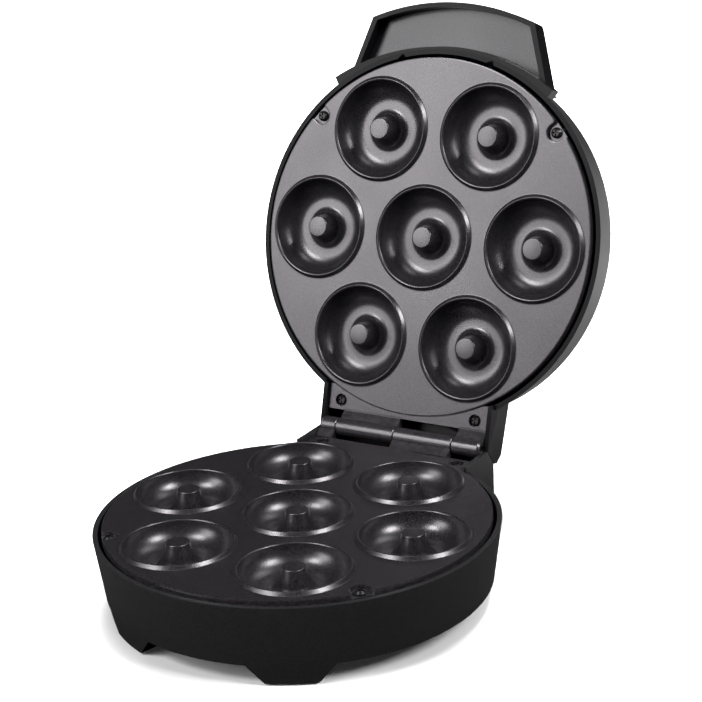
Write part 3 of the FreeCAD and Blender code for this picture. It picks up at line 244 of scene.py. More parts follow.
floor = add_floor()
lit_floor = bpy.data.collections.new("lit_floor")
lit_floor.objects.link(floor)
floor_light.light_linking.receiver_collection = lit_floor
bpy.context.scene.world = add_room()
bpy.context.scene.view_settings.view_transform = "Standard"
print("floor", floor.name, "room light", ROOM_LIGHT)

# %% [markdown]
# ## Surface effects shared by several finishes
# Three effects turn up in more than one finish, so each is a shader node group with named inputs:
# *grain* is the fine speckle of sprayed or moulded surfaces, *brushing* is the fine streak that a
# lathe or a belt leaves along one axis, and the edge group lightens the raised edges: partly the
# rubbing that handling gives them, partly a painted highlight where they catch the light. The
# groups only give values. The shader itself stays in each material.

# %% Shader groups


def new_group(name, inputs, outputs):
    """A shader group of number sockets: inputs with their first values, and outputs."""
    group = bpy.data.node_groups.new(name, "ShaderNodeTree")
    for label, value in inputs.items():
        socket = group.interface.new_socket(label, in_out="INPUT", socket_type="NodeSocketFloat")
        socket.default_value = value
    for label in outputs:
        group.interface.new_socket(label, in_out="OUTPUT", socket_type="NodeSocketFloat")
    return group, group.nodes.new("NodeGroupInput"), group.nodes.new("NodeGroupOutput")


def grain_group():
    """Fine speckle: Value runs from Low to High, Height is for a Bump node."""
    group, given, result = new_group(
        "grain",
        {"Scale": 900.0, "Detail": 3.0, "Low": 0.0, "High": 1.0, "Patch Scale": 20.0},
        ["Value", "Height", "Patches"])
    place = add_node(group, "ShaderNodeTexCoord")
    fine = add_node(group, "ShaderNodeTexNoise", Vector=(place, "Object"), Scale=(given, "Scale"),
                    Detail=(given, "Detail"), Roughness=0.6)
    spread = add_node(group, "ShaderNodeMapRange", {"interpolation_type": "SMOOTHSTEP"}, Value=(fine, "Fac"),
                      From_Min=0.32, From_Max=0.68, To_Min=(given, "Low"), To_Max=(given, "High"))
    broad = add_node(group, "ShaderNodeTexNoise", Vector=(place, "Object"), Scale=(given, "Patch Scale"),
                     Detail=2.0)
    group.links.new(spread.outputs["Result"], result.inputs["Value"])
    group.links.new(fine.outputs["Fac"], result.inputs["Height"])
    group.links.new(broad.outputs["Fac"], result.inputs["Patches"])
    return group


def brushing_group():
    """Streaks along X: Value is the streak, from Low to High."""
    group, given, result = new_group(
        "brushing",
        {"Across": 2500.0, "Along": 60.0, "Low": 0.3, "High": 0.5},
        ["Value", "Height"])
    place = add_node(group, "ShaderNodeTexCoord")
    scale = add_node(group, "ShaderNodeCombineXYZ", X=(given, "Along"), Y=(given, "Across"),
                     Z=(given, "Across"))
    stretched = add_node(group, "ShaderNodeVectorMath", {"operation": "MULTIPLY"})
    group.links.new(place.outputs["Object"], stretched.inputs[0])
    group.links.new(scale.outputs["Vector"], stretched.inputs[1])
    streak = add_node(group, "ShaderNodeTexNoise", Vector=(stretched, "Vector"), Scale=1.0, Detail=3.0)
    spread = add_node(group, "ShaderNodeMapRange", Value=(streak, "Fac"), From_Min=0.3, From_Max=0.7,
                      To_Min=(given, "Low"), To_Max=(given, "High"))
    group.links.new(spread.outputs["Result"], result.inputs["Value"])
    group.links.new(streak.outputs["Fac"], result.inputs["Height"])
    return group


RAISED_START, RAISED_FULL = 0.53, 0.62


def rubbed_lit_edges_group():
    """Mask is near 1 on raised edges, broken up by noise, and 0 elsewhere.
    It places the lighter edge colour: partly rubbing, partly a painted highlight.
    """
    group, given, result = new_group(
        "rubbed and lit edges",
        {"Amount": 0.5, "Break Up": 300.0},
        ["Mask"])
    place = add_node(group, "ShaderNodeTexCoord")
    shape = add_node(group, "ShaderNodeNewGeometry")
    raised = add_node(group, "ShaderNodeMapRange", {"interpolation_type": "SMOOTHSTEP"},
                      Value=(shape, "Pointiness"), From_Min=RAISED_START, From_Max=RAISED_FULL)
    broken = add_node(group, "ShaderNodeTexNoise", Vector=(place, "Object"), Scale=(given, "Break Up"),
                      Detail=3.0)
    soft = add_node(group, "ShaderNodeMapRange", Value=(broken, "Fac"), From_Min=0.35, From_Max=0.65)
    masked = add_node(group, "ShaderNodeMath", {"operation": "MULTIPLY"})
    group.links.new(raised.outputs["Result"], masked.inputs[0])
    group.links.new(soft.outputs["Result"], masked.inputs[1])
    scaled = add_node(group, "ShaderNodeMath", {"operation": "MULTIPLY"})
    group.links.new(masked.outputs["Value"], scaled.inputs[0])
    group.links.new(given.outputs["Amount"], scaled.inputs[1])
    group.links.new(scaled.outputs["Value"], result.inputs["Mask"])
    return group


grain = grain_group()
brushing = brushing_group()
rubbed_lit_edges = rubbed_lit_edges_group()
print("shader groups:", [group.name for group in (grain, brushing, rubbed_lit_edges)])

# %% [markdown]
# ## Finishes
# Every finish is a Principled shader whose colour, roughness and bump come from those groups. Two
# helpers do the wiring: `speckled` for sprayed and moulded surfaces, `streaked` for turned metal.

# %% Material helpers
PATCHINESS = 0.03
COAT_ROUGHNESS = 0.06


def new_material(name):
    material = bpy.data.materials.new(name)
    material.use_nodes = True
    return material, material.node_tree, material.node_tree.nodes["Principled BSDF"]


def mixed_colour(tree, factor, dark, light):
    mix = add_node(tree, "ShaderNodeMix", {"data_type": "RGBA"})
    tree.links.new(factor, mix.inputs["Factor"])
    mix.inputs[6].default_value = (*dark, 1)
    mix.inputs[7].default_value = (*light, 1)
    return mix.outputs[2]


def speckled(name, dark, light, roughness, scale=900.0, bump=0.02, metallic=0.0, specular=0.5,
             rub_and_highlight=0.0, rub_and_highlight_colour=(0.2, 0.2, 0.2), tint=(1, 1, 1), depth=0.1 * MM):
    """A sprayed or moulded finish: two colours in a fine grain and, if asked for, lighter raised
    edges that are partly rubbed and partly a painted highlight.
    """
    material, tree, shader = new_material(name)
    spots = add_node(tree, "ShaderNodeGroup", {"node_tree": grain}, Scale=scale, Detail=3.0, Low=0.0,
                     High=1.0)
    colour = mixed_colour(tree, spots.outputs["Value"], dark, light)
    # Lighter raised edges: partly rubbing, partly a painted highlight where they catch the light.
    if rub_and_highlight:
        rubbed_lit = add_node(tree, "ShaderNodeGroup", {"node_tree": rubbed_lit_edges}, Amount=rub_and_highlight)
        over = add_node(tree, "ShaderNodeMix", {"data_type": "RGBA"})
        tree.links.new(rubbed_lit.outputs["Mask"], over.inputs["Factor"])
        tree.links.new(colour, over.inputs[6])
        over.inputs[7].default_value = (*rub_and_highlight_colour, 1)
        colour = over.outputs[2]
    tree.links.new(colour, shader.inputs["Base Color"])
    rough = add_node(tree, "ShaderNodeMapRange", Value=(spots, "Patches"), From_Min=0.3, From_Max=0.7,
                     To_Min=roughness - PATCHINESS, To_Max=roughness + PATCHINESS)
    tree.links.new(rough.outputs["Result"], shader.inputs["Roughness"])
    bumps = add_node(tree, "ShaderNodeBump", Strength=bump, Distance=depth, Height=(spots, "Height"))
    tree.links.new(bumps.outputs["Normal"], shader.inputs["Normal"])
    shader.inputs["Metallic"].default_value = metallic
    shader.inputs["Specular IOR Level"].default_value = specular
    shader.inputs["Specular Tint"].default_value = (*tint, 1)
    shader.inputs["Coat Roughness"].default_value = COAT_ROUGHNESS
    return material


def streaked(name, colour, low, high, across=2500.0, along=60.0, bump=0.05, metallic=1.0):
    """Turned, rolled or brushed metal with streaks along X."""
    material, tree, shader = new_material(name)
    streaks = add_node(tree, "ShaderNodeGroup", {"node_tree": brushing}, Across=across, Along=along,
                       Low=low, High=high)
    tone = add_node(tree, "ShaderNodeMapRange", Value=(streaks, "Height"), From_Min=0.3, From_Max=0.7)
    dark = tuple(part * 0.75 for part in colour)
    tree.links.new(mixed_colour(tree, tone.outputs["Result"], dark, colour), shader.inputs["Base Color"])
    tree.links.new(streaks.outputs["Value"], shader.inputs["Roughness"])
    bumps = add_node(tree, "ShaderNodeBump", Strength=bump, Distance=0.05 * MM, Height=(streaks, "Height"))
    tree.links.new(bumps.outputs["Normal"], shader.inputs["Normal"])
    shader.inputs["Metallic"].default_value = metallic
    return material


# %% [markdown]
# The table gives each finish its dark and light tone, its roughness and the size of its grain. The
# non-stick coat is a dark spray with light flecks. The plastics are near black: the base is
# matt from its mould, the handle is smooth. Metals are streaked along the direction they were
# turned, rolled or drawn in.

# %% Finishes
# The edge colours below, on the coat, the base and the screws, are partly rubbing and partly a painted
# highlight.
MOULDED = {
    "nonstick": ((0.001, 0.001, 0.001), (0.034, 0.031, 0.036), 0.29,
                 dict(scale=1400, bump=0.45, specular=0.85, rub_and_highlight=0.25, rub_and_highlight_colour=(0.16, 0.15, 0.17),
                      tint=(1.0, 0.955, 1.0), depth=0.10 * MM)),
    "base_plastic": ((0.012, 0.012, 0.013), (0.026, 0.026, 0.028), 0.34,
                     dict(scale=1800, bump=0.15, specular=0.45, rub_and_highlight=0.2, rub_and_highlight_colour=(0.05, 0.05, 0.05))),
    "lid_gloss": ((0.008, 0.008, 0.009), (0.010, 0.010, 0.011), 0.32,
                  dict(scale=2600, bump=0.01, specular=0.08)),
    "handle_gloss": ((0.006, 0.006, 0.007), (0.008, 0.008, 0.009), 0.18,
                     dict(scale=2600, bump=0.01, specular=0.08)),
    "insert_satin": ((0.020, 0.019, 0.023), (0.036, 0.034, 0.040), 0.24,
                     dict(scale=1600, bump=0.05, specular=0.42)),
    "foot_rubber": ((0.012, 0.012, 0.012), (0.030, 0.030, 0.030), 0.75, dict(scale=1200, bump=0.2)),
    "bush_plastic": ((0.010, 0.010, 0.010), (0.022, 0.022, 0.022), 0.5, dict(scale=1200, bump=0.1)),
    "clamp_plastic": ((0.55, 0.53, 0.48), (0.66, 0.64, 0.58), 0.5, dict(scale=900, bump=0.05)),
    "ceramic": ((0.66, 0.63, 0.57), (0.78, 0.76, 0.70), 0.45, dict(scale=1000, bump=0.1)),
    "fuse_sleeve": ((0.50, 0.48, 0.42), (0.72, 0.70, 0.64), 0.7, dict(scale=2500, bump=0.3)),
    "lamp_glass": ((0.55, 0.20, 0.10), (0.72, 0.30, 0.16), 0.12, dict(scale=300, bump=0.01)),
    "screw_black": ((0.004, 0.004, 0.004), (0.012, 0.011, 0.011), 0.30,
                    dict(scale=2500, bump=0.05, specular=0.3, rub_and_highlight=0.2, rub_and_highlight_colour=(0.10, 0.10, 0.10))),
    "cast_edge": ((0.018, 0.017, 0.018), (0.10, 0.096, 0.10), 0.46,
                  dict(scale=1100, bump=0.5, specular=0.6, depth=0.25 * MM)),
}
TURNED = {
    "element_sheath": ((0.20, 0.19, 0.18), 0.40, 0.60, dict(along=900)),
    "spacer_steel": ((0.52, 0.52, 0.52), 0.25, 0.40, {}),
    "strap_steel": ((0.55, 0.54, 0.52), 0.28, 0.42, {}),
    "thermostat_can": ((0.60, 0.60, 0.60), 0.22, 0.35, {}),
    "screw_steel": ((0.58, 0.57, 0.54), 0.22, 0.36, {}),
    "pin_steel": ((0.50, 0.49, 0.48), 0.20, 0.32, {}),
    "barrel_metal": ((0.105, 0.096, 0.099), 0.24, 0.40, dict(across=2800, along=40)),
}
finish = {name: speckled(name, dark, light, roughness, **more)
          for name, (dark, light, roughness, more) in MOULDED.items()}
finish.update({name: streaked(name, colour, low, high, **more)
               for name, (colour, low, high, more) in TURNED.items()})


def lens_material(name, colour):
    """A tinted lens: clear plastic of one colour, with a little grain deep inside it."""
    material, tree, shader = new_material(name)
    spots = add_node(tree, "ShaderNodeGroup", {"node_tree": grain}, Scale=700.0)
    dark = tuple(part * 0.7 for part in colour)
    tree.links.new(mixed_colour(tree, spots.outputs["Value"], dark, colour), shader.inputs["Base Color"])
    shader.inputs["Roughness"].default_value = 0.12
    shader.inputs["Coat Weight"].default_value = 0.5
    shader.inputs["Transmission Weight"].default_value = 0.35
    return material


finish["lens_red"] = lens_material("lens_red", (0.55, 0.02, 0.015))
finish["lens_green"] = lens_material("lens_green", (0.02, 0.35, 0.06))
print(len(finish), "finishes")


# %% [markdown]
# The lid's outside is polished, but the band near its rim is left as it came from the mould. One
# shader does both: its coat fades in with the distance from the closing plane, which is a sum of
# the Object coordinates, so the band turns with the lid.

# %% Polished crown
POLISH_START, POLISH_FULL = -26 * MM, -34 * MM
POLISHED = 0.9


def polish_outside(material):
    tree = material.node_tree
    across = to_lid.inverted()[2]
    place = add_node(tree, "ShaderNodeTexCoord")
    depth = add_node(tree, "ShaderNodeVectorMath", {"operation": "DOT_PRODUCT"}, Vector=(place, "Object"))
    plug(tree, depth, "1", across[:3])
    coat = add_node(tree, "ShaderNodeMapRange", {"interpolation_type": "SMOOTHSTEP"}, Value=(depth, "Value"),
                    From_Min=POLISH_START - across[3], From_Max=POLISH_FULL - across[3], To_Min=0.0,
                    To_Max=POLISHED)
    tree.links.new(coat.outputs["Result"], tree.nodes["Principled BSDF"].inputs["Coat Weight"])


polish_outside(finish["lid_gloss"])
print("lid coat fades in from", -POLISH_START / MM, "to", -POLISH_FULL / MM, "mm above the closing plane")


# %% [markdown]
# Each piece of the frame names its own finish. The loop swaps the plain material that it came with
# for the finish of that name.

# %% Finishes on the frame's pieces


def give(item, name):
    """Put one finish on every material slot of an object."""
    if not item.data.materials:
        item.data.materials.append(finish[name])
    for index in range(len(item.material_slots)):
        item.material_slots[index].material = finish[name]


for name, item in nodes.items():
    slot_name = item.material_slots[0].material.name if item.material_slots else None
    if slot_name in finish:
        give(item, slot_name)
    else:
        print("no finish for", name, slot_name)

# %% [markdown]
# ## Cooking plates
# Each plate is one aluminium casting: a disc with seven donut cavities, one in the middle and six
# round it, and a tab with hinge knuckles. The cavities follow a rule, so they are not modelled
# seven times. One cavity is turned from its profile, and a Geometry Nodes tree sets it on the seven
# places, fills the flat land between the rims and welds the two. A boolean would cut the same
# holes, but it leaves ragged triangles along every rim, and rims are what catches the light here.

# %% Profiles
PLATE_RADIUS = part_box("lower_plate")[1].x
CAVITY_RADIUS = 26 * MM
CAVITY_DEPTH = 12 * MM
BEAD_WIDTH = 3.5 * MM
PLATE_BORDER = 2 * MM
PITCH = PLATE_RADIUS - PLATE_BORDER - BEAD_WIDTH - CAVITY_RADIUS
FACE = -2 * MM
UNDER = -4.4 * MM
SKIRT = -7 * MM
POST_TOP = 5.8 * MM
POST_BASE = 7.4 * MM
POST_FOOT = 5 * MM
MOUTH_ROUND = 1 * MM
CREST = 1.2 * MM
BEAD_LEAN = 33
CAST_WALL = 2.2 * MM
SMALL_ROUND = 0.6 * MM
CAVITY_SIDES = 96


def arc(across, level, radius, first, last, steps=8):
    """Points of an arc in a profile, angles in degrees."""
    turns = [math.radians(first + (last - first) * step / steps) for step in range(steps + 1)]
    return [(across + radius * math.cos(turn), level + radius * math.sin(turn)) for turn in turns]


def cavity_profile():
    """From the middle of the post, down into the cavity and over its rim to the plate's face."""
    outer = CAVITY_DEPTH - MOUTH_ROUND
    centre = CAVITY_RADIUS - outer
    slope = math.radians(BEAD_LEAN)
    crest = CAVITY_RADIUS + CREST - SMALL_ROUND / 2
    drop = -FACE - 2 * SMALL_ROUND * (1 - math.sin(slope))
    foot = crest + 2 * SMALL_ROUND * math.cos(slope) + drop * math.tan(slope)
    lean = math.degrees(math.atan((POST_BASE - POST_TOP) / (CAVITY_DEPTH - POST_FOOT)))
    points = [(0, 0)]
    points += arc(POST_TOP - SMALL_ROUND, -SMALL_ROUND, SMALL_ROUND, 90, lean, 5)
    points += arc(POST_BASE + POST_FOOT, POST_FOOT - CAVITY_DEPTH, POST_FOOT, 180 + lean, 270, 10)
    points += arc(centre, -MOUTH_ROUND, outer, 270, 360, 18)
    points += arc(CAVITY_RADIUS + MOUTH_ROUND, -MOUTH_ROUND, MOUTH_ROUND, 180, 90, 6)[1:]
    points += arc(crest, -SMALL_ROUND, SMALL_ROUND, 90, BEAD_LEAN, 4)
    points += arc(foot, FACE + SMALL_ROUND, SMALL_ROUND, 180 + BEAD_LEAN, 270, 4)
    return points + [(foot + SMALL_ROUND, FACE)]


def cup_profile():
    """The casting's bulge under a cavity, up to the underside of the land."""
    outer = CAVITY_DEPTH - MOUTH_ROUND + CAST_WALL
    centre = CAVITY_RADIUS + CAST_WALL - outer
    last = -math.degrees(math.asin((-MOUTH_ROUND - UNDER) / outer))
    return [(0, -CAVITY_DEPTH - CAST_WALL)] + arc(centre, -MOUTH_ROUND, outer, -90, last, 14)


def turned(mesh, profile, sides, at=(0, 0), closed=False, material=0):
    """Turn a profile about an upright axis and add it to a bmesh."""
    rings = []
    for radius, level in profile:
        if radius < 1e-7:
            rings.append([mesh.verts.new((at[0], at[1], level))] * sides)
            continue
        turns = [2 * math.pi * side / sides for side in range(sides)]
        places = [(at[0] + radius * math.cos(turn), at[1] + radius * math.sin(turn)) for turn in turns]
        rings.append([mesh.verts.new((*place, level)) for place in places])
    pairs = list(zip(rings, rings[1:])) + ([(rings[-1], rings[0])] if closed else [])
    for low, high in pairs:
        for side in range(sides):
            after = (side + 1) % sides
            corners = dict.fromkeys((low[side], low[after], high[after], high[side]))
            if len(corners) > 2:
                mesh.faces.new(list(corners)).material_index = material


def object_from(mesh, name):
    data = bpy.data.meshes.new(name)
    mesh.to_mesh(data)
    mesh.free()
    item = bpy.data.objects.new(name, data)
    bpy.context.scene.collection.objects.link(item)
    return item


print("cavity profile", len(cavity_profile()), "points; cavities", round(PITCH / MM, 1), "mm apart")

# %% [markdown]
# The plate's edge is a circle with two open notches, where the front screws sit. Its edge is
# slightly rounded, so the outline is needed at several insets. Each inset moves the outline along
# its own normals, which keeps the points of all the insets in step.

# %% Outline with its screw notches
OUTLINE_SIDES = 224
SCREW_INSET = 8 * MM
RIM_BEYOND_PLATE = 4.5 * MM
SCREW_ANGLE = math.radians(41)
NOTCH_RADIUS = 4.6 * MM
NOTCH_FLARE = 0.9 * MM
screw_circle = PLATE_RADIUS + RIM_BEYOND_PLATE - SCREW_INSET
screw_places = [(screw_circle * math.cos(turn), screw_circle * math.sin(turn))
                for turn in (math.pi + SCREW_ANGLE, -SCREW_ANGLE)]


def notch_points(turn):
    """One notch, from one side of its mouth round the screw to the other, in its own direction."""
    half = math.asin((NOTCH_RADIUS + NOTCH_FLARE) / PLATE_RADIUS)
    local = [(PLATE_RADIUS * math.cos(half), -PLATE_RADIUS * math.sin(half))]
    mouth = PLATE_RADIUS - NOTCH_FLARE
    local += [(mouth, -NOTCH_RADIUS - NOTCH_FLARE / 4), (mouth - NOTCH_FLARE, -NOTCH_RADIUS)]
    local += [(screw_circle + NOTCH_RADIUS * math.cos(math.radians(angle)),
               NOTCH_RADIUS * math.sin(math.radians(angle))) for angle in range(-90, -271, -10)]
    local += [(mouth - NOTCH_FLARE, NOTCH_RADIUS), (mouth, NOTCH_RADIUS + NOTCH_FLARE / 4)]
    local += [(PLATE_RADIUS * math.cos(half), PLATE_RADIUS * math.sin(half))]
    return half, [(x * math.cos(turn) - y * math.sin(turn), x * math.sin(turn) + y * math.cos(turn))
                  for x, y in local]


def plate_outline():
    turns = [math.pi + SCREW_ANGLE, 2 * math.pi - SCREW_ANGLE]
    notches = [notch_points(turn) for turn in turns]
    points = []
    for number, (turn, (half, notch)) in enumerate(zip(turns, notches)):
        points += notch
        following = turns[(number + 1) % 2] + (2 * math.pi if number else 0)
        first, last = turn + half, following - half
        steps = round(OUTLINE_SIDES * (last - first) / (2 * math.pi))
        for step in range(1, steps):
            angle = first + (last - first) * step / steps
            points.append((PLATE_RADIUS * math.cos(angle), PLATE_RADIUS * math.sin(angle)))
    return points


def inset(points, distance):
    """Move a closed outline inwards along its normals."""
    moved = []
    for index, point in enumerate(points):
        before = Vector(points[index - 1])
        after = Vector(points[(index + 1) % len(points)])
        along = (after - before).normalized()
        moved.append((point[0] - along.y * distance, point[1] + along.x * distance))
    return moved


def outline_object(points, name):
    data = bpy.data.meshes.new(name)
    count = len(points)
    edges = [(index, (index + 1) % count) for index in range(count)]
    data.from_pydata([(x, y, 0) for x, y in points], edges, [])
    item = bpy.data.objects.new(name, data)
    bpy.context.scene.collection.objects.link(item)
    return item


edge_outline = plate_outline()
print("outline of", len(edge_outline), "points with", len(screw_places), "notches")

# %% [markdown]
# ### The tree
# The turned cavity comes in as the modifier's own geometry. The tree makes seven points, a circle
# of six and one in the middle, and instances the cavity on them. The same points carry circles,
# which are the holes in the land: together with the outline they go through Fill Curve. Merge by
# Distance then welds rim to land, because both have the same number of sides.

# %% Geometry Nodes tree for a plate's skin


def tree_input(tree, label, kind, value=None):
    socket = tree.interface.new_socket(label, in_out="INPUT", socket_type=kind)
    if value is not None:
        socket.default_value = value
    return socket.identifier


def skin_tree():
    tree = bpy.data.node_groups.new("plate skin", "GeometryNodeTree")
    ids = {"Cavity": tree_input(tree, "Cavity", "NodeSocketGeometry")}
    ids["Outline"] = tree_input(tree, "Outline", "NodeSocketObject")
    ids["Material"] = tree_input(tree, "Material", "NodeSocketMaterial")
    for label, value in (("Pitch", PITCH), ("Hole Radius", CAVITY_RADIUS), ("Level", FACE)):
        ids[label] = tree_input(tree, label, "NodeSocketFloat", value)
    for label, value in (("Ring Count", 6), ("Sides", CAVITY_SIDES)):
        ids[label] = tree_input(tree, label, "NodeSocketInt", value)
    tree.interface.new_socket("Skin", in_out="OUTPUT", socket_type="NodeSocketGeometry")
    given, result = tree.nodes.new("NodeGroupInput"), tree.nodes.new("NodeGroupOutput")
    link = tree.links.new

    ring = add_node(tree, "GeometryNodeMeshCircle", Vertices=(given, "Ring Count"), Radius=(given, "Pitch"))
    middle = add_node(tree, "GeometryNodePoints", Count=1)
    ring_points = add_node(tree, "GeometryNodeMeshToPoints", Mesh=(ring, "Mesh"))
    places = tree.nodes.new("GeometryNodeJoinGeometry")
    link(ring_points.outputs["Points"], places.inputs[0])
    link(middle.outputs["Points"], places.inputs[0])

    cavities = tree.nodes.new("GeometryNodeInstanceOnPoints")
    link(places.outputs[0], cavities.inputs["Points"])
    link(given.outputs["Cavity"], cavities.inputs["Instance"])

    hole = add_node(tree, "GeometryNodeCurvePrimitiveCircle", Resolution=(given, "Sides"),
                    Radius=(given, "Hole Radius"))
    holes = tree.nodes.new("GeometryNodeInstanceOnPoints")
    link(places.outputs[0], holes.inputs["Points"])
    link(hole.outputs["Curve"], holes.inputs["Instance"])
    hole_curves = add_node(tree, "GeometryNodeRealizeInstances", Geometry=(holes, "Instances"))

    border = add_node(tree, "GeometryNodeObjectInfo", Object=(given, "Outline"))
    border_curve = add_node(tree, "GeometryNodeMeshToCurve", Mesh=(border, "Geometry"))
    loops = tree.nodes.new("GeometryNodeJoinGeometry")
    link(hole_curves.outputs[0], loops.inputs[0])
    link(border_curve.outputs[0], loops.inputs[0])
    land = tree.nodes.new("GeometryNodeFillCurve")
    link(loops.outputs[0], land.inputs["Curve"])
    lift = add_node(tree, "ShaderNodeCombineXYZ", Z=(given, "Level"))
    lifted = tree.nodes.new("GeometryNodeTransform")
    link(land.outputs[0], lifted.inputs["Geometry"])
    link(lift.outputs["Vector"], lifted.inputs["Translation"])

    whole = tree.nodes.new("GeometryNodeJoinGeometry")
    link(lifted.outputs[0], whole.inputs[0])
    link(cavities.outputs[0], whole.inputs[0])
    real = add_node(tree, "GeometryNodeRealizeInstances", Geometry=(whole, 0))
    welded = add_node(tree, "GeometryNodeMergeByDistance", Geometry=(real, 0), Distance=0.01 * MM)
    finished = add_node(tree, "GeometryNodeSetMaterial", Geometry=(welded, 0), Material=(given, "Material"))
    link(finished.outputs[0], result.inputs[0])
    return tree, ids


def evaluated_mesh(item, tree, ids, **values):
    """Run a tree on an object with its inputs set, and return the plain mesh that comes out."""
    modifier = item.modifiers.new("tree", "NODES")
    modifier.node_group = tree
    for label, value in values.items():
        modifier[ids[label.replace("_", " ")]] = value
    depsgraph = bpy.context.evaluated_depsgraph_get()
    depsgraph.update()
    data = bpy.data.meshes.new_from_object(item.evaluated_get(depsgraph))
    item.modifiers.remove(modifier)
    return data


plate_tree, plate_inputs = skin_tree()


def plate_skin(profile, outline, level):
    cavity = bmesh.new()
    turned(cavity, profile, CAVITY_SIDES)
    item = object_from(cavity, "cavity")
    border = outline_object(outline, "outline")
    data = evaluated_mesh(item, plate_tree, plate_inputs, Outline=border, Material=finish["nonstick"],
                          Pitch=PITCH, Hole_Radius=profile[-1][0], Level=level)
    for helper in (item, border):
        bpy.data.objects.remove(helper)
    return data


EDGE_ROUND = 0.5 * MM
EDGE_FLAT = 0.9 * MM
upper_skin = plate_skin(cavity_profile(), inset(edge_outline, EDGE_FLAT), FACE)
under_skin = plate_skin(cup_profile(), edge_outline, UNDER)
print("skins of", len(upper_skin.polygons), "and", len(under_skin.polygons), "faces")

# %% [markdown]
# ### Edge, skirt and underside
# Between the two skins runs the plate's side, a few rows of faces that round its upper edge. Below
# it hangs the skirt, which keeps its rough cast surface. Underneath are the channel that the
# heating tube is pressed into, the pillars for its clamps and the ears for the screws. Each of
# these is turned from a short profile.

# %% Side, skirt and underside
CAST_EDGE, BARREL = 1, 2
SKIRT_INSIDE = 92.9 * MM
CHANNEL_INSET = 7 * MM
CHANNEL_HALF = 5.5 * MM
CHANNEL_TOP = -13.2 * MM
CHANNEL_BOTTOM = -18 * MM
TUBE_RADIUS = 3.3 * MM
TUBE_LEVEL = -17.5 * MM
PILLAR_REACH = 14 * MM
PILLAR_BOTTOM = -20.8 * MM
PILLAR_RADIUS = 4 * MM
PILLAR_ANGLES = (30, 150, 270)
PAD_RADIUS = 5 * MM
SKIRT_ROUND = 0.5 * MM
SKIRT_CHAMFER = 1.2 * MM
FLOOR_THICKNESS = 1.2 * MM
FLOOR_OVERLAP = 0.8 * MM
FLOOR_SIDES = 32
PILLAR_SIDES = 24
CHANNEL_SIDES = 128
HIDE = 0.3 * MM
SKIN_OVERLAP = 0.03 * MM


def add_side(mesh):
    """Rows from the upper skin's border over the rounded edge to the under skin's border."""
    rows = [(EDGE_FLAT, FACE), (EDGE_ROUND, FACE), (0.15 * EDGE_ROUND, FACE - 0.3 * EDGE_ROUND),
            (0, FACE - EDGE_ROUND), (0, UNDER)]
    loops = [[mesh.verts.new((x, y, level)) for x, y in inset(edge_outline, distance)]
             for distance, level in rows]
    for number, (high, low) in enumerate(zip(loops, loops[1:])):
        for index in range(len(high)):
            after = (index + 1) % len(high)
            face = mesh.faces.new((high[index], low[index], low[after], high[after]))
            face.material_index = CAST_EDGE if number > 2 else 0


def add_skirt(mesh):
    lower_edge = arc(PLATE_RADIUS - SKIRT_ROUND, SKIRT + SKIRT_ROUND, SKIRT_ROUND, 0, -90, 4)
    profile = [(SKIRT_INSIDE, UNDER), (PLATE_RADIUS, UNDER)] + lower_edge
    profile += [(SKIRT_INSIDE + SKIRT_CHAMFER, SKIRT), (SKIRT_INSIDE, UNDER - SKIRT_CHAMFER)]
    turned(mesh, profile, OUTLINE_SIDES, closed=True, material=CAST_EDGE)


def add_notch_floors(mesh):
    """A small slab under each notch, for the screw to sit on."""
    above, below = UNDER + SKIN_OVERLAP, UNDER - FLOOR_THICKNESS
    reach = NOTCH_RADIUS + FLOOR_OVERLAP
    for x, y in screw_places:
        loops = []
        for level in (above, below):
            loop = []
            for step in range(FLOOR_SIDES):
                turn = 2 * math.pi * step / FLOOR_SIDES
                point = Vector((x + reach * math.cos(turn), y + reach * math.sin(turn)))
                if point.length > PLATE_RADIUS - HIDE:
                    point = point.normalized() * (PLATE_RADIUS - HIDE)
                loop.append(mesh.verts.new((*point, level)))
            loops.append(loop)
        mesh.faces.new(loops[0])
        mesh.faces.new(list(reversed(loops[1])))
        for step in range(FLOOR_SIDES):
            after = (step + 1) % FLOOR_SIDES
            mesh.faces.new((loops[0][step], loops[1][step], loops[1][after], loops[0][after]))


def add_underside(mesh):
    ring = PITCH - CHANNEL_INSET
    inner, outer = ring - CHANNEL_HALF, ring + CHANNEL_HALF
    groove = arc(ring, TUBE_LEVEL, TUBE_RADIUS, 0, 180, 10)
    profile = [(inner, CHANNEL_BOTTOM), (inner, CHANNEL_TOP), (outer, CHANNEL_TOP), (outer, CHANNEL_BOTTOM)]
    profile += [(ring + TUBE_RADIUS, CHANNEL_BOTTOM)] + groove + [(ring - TUBE_RADIUS, CHANNEL_BOTTOM)]
    turned(mesh, profile, CHANNEL_SIDES, closed=True, material=CAST_EDGE)
    reach = ring - PILLAR_REACH
    turns = [math.radians(angle) for angle in PILLAR_ANGLES]
    stubs = [(PILLAR_RADIUS, UNDER, PILLAR_BOTTOM, (reach * math.cos(turn), reach * math.sin(turn)))
             for turn in turns]
    stubs.append((PAD_RADIUS, -CAVITY_DEPTH - 1 * MM, CHANNEL_BOTTOM, (0, 0)))
    for radius, high, low, place in stubs:
        turned(mesh, [(0, high), (radius, high), (radius, low), (0, low)], PILLAR_SIDES, at=place,
               material=CAST_EDGE)


# %% [markdown]
# ### Tab and knuckles
# Behind the disc a flat tab carries the hinge: two barrel lengths on each plate, which mesh with
# the two on the other one. Each barrel is a tube with chamfered ends round the hinge pin, held by a
# tongue. The last barrel on the right ends in a wider chamfer.

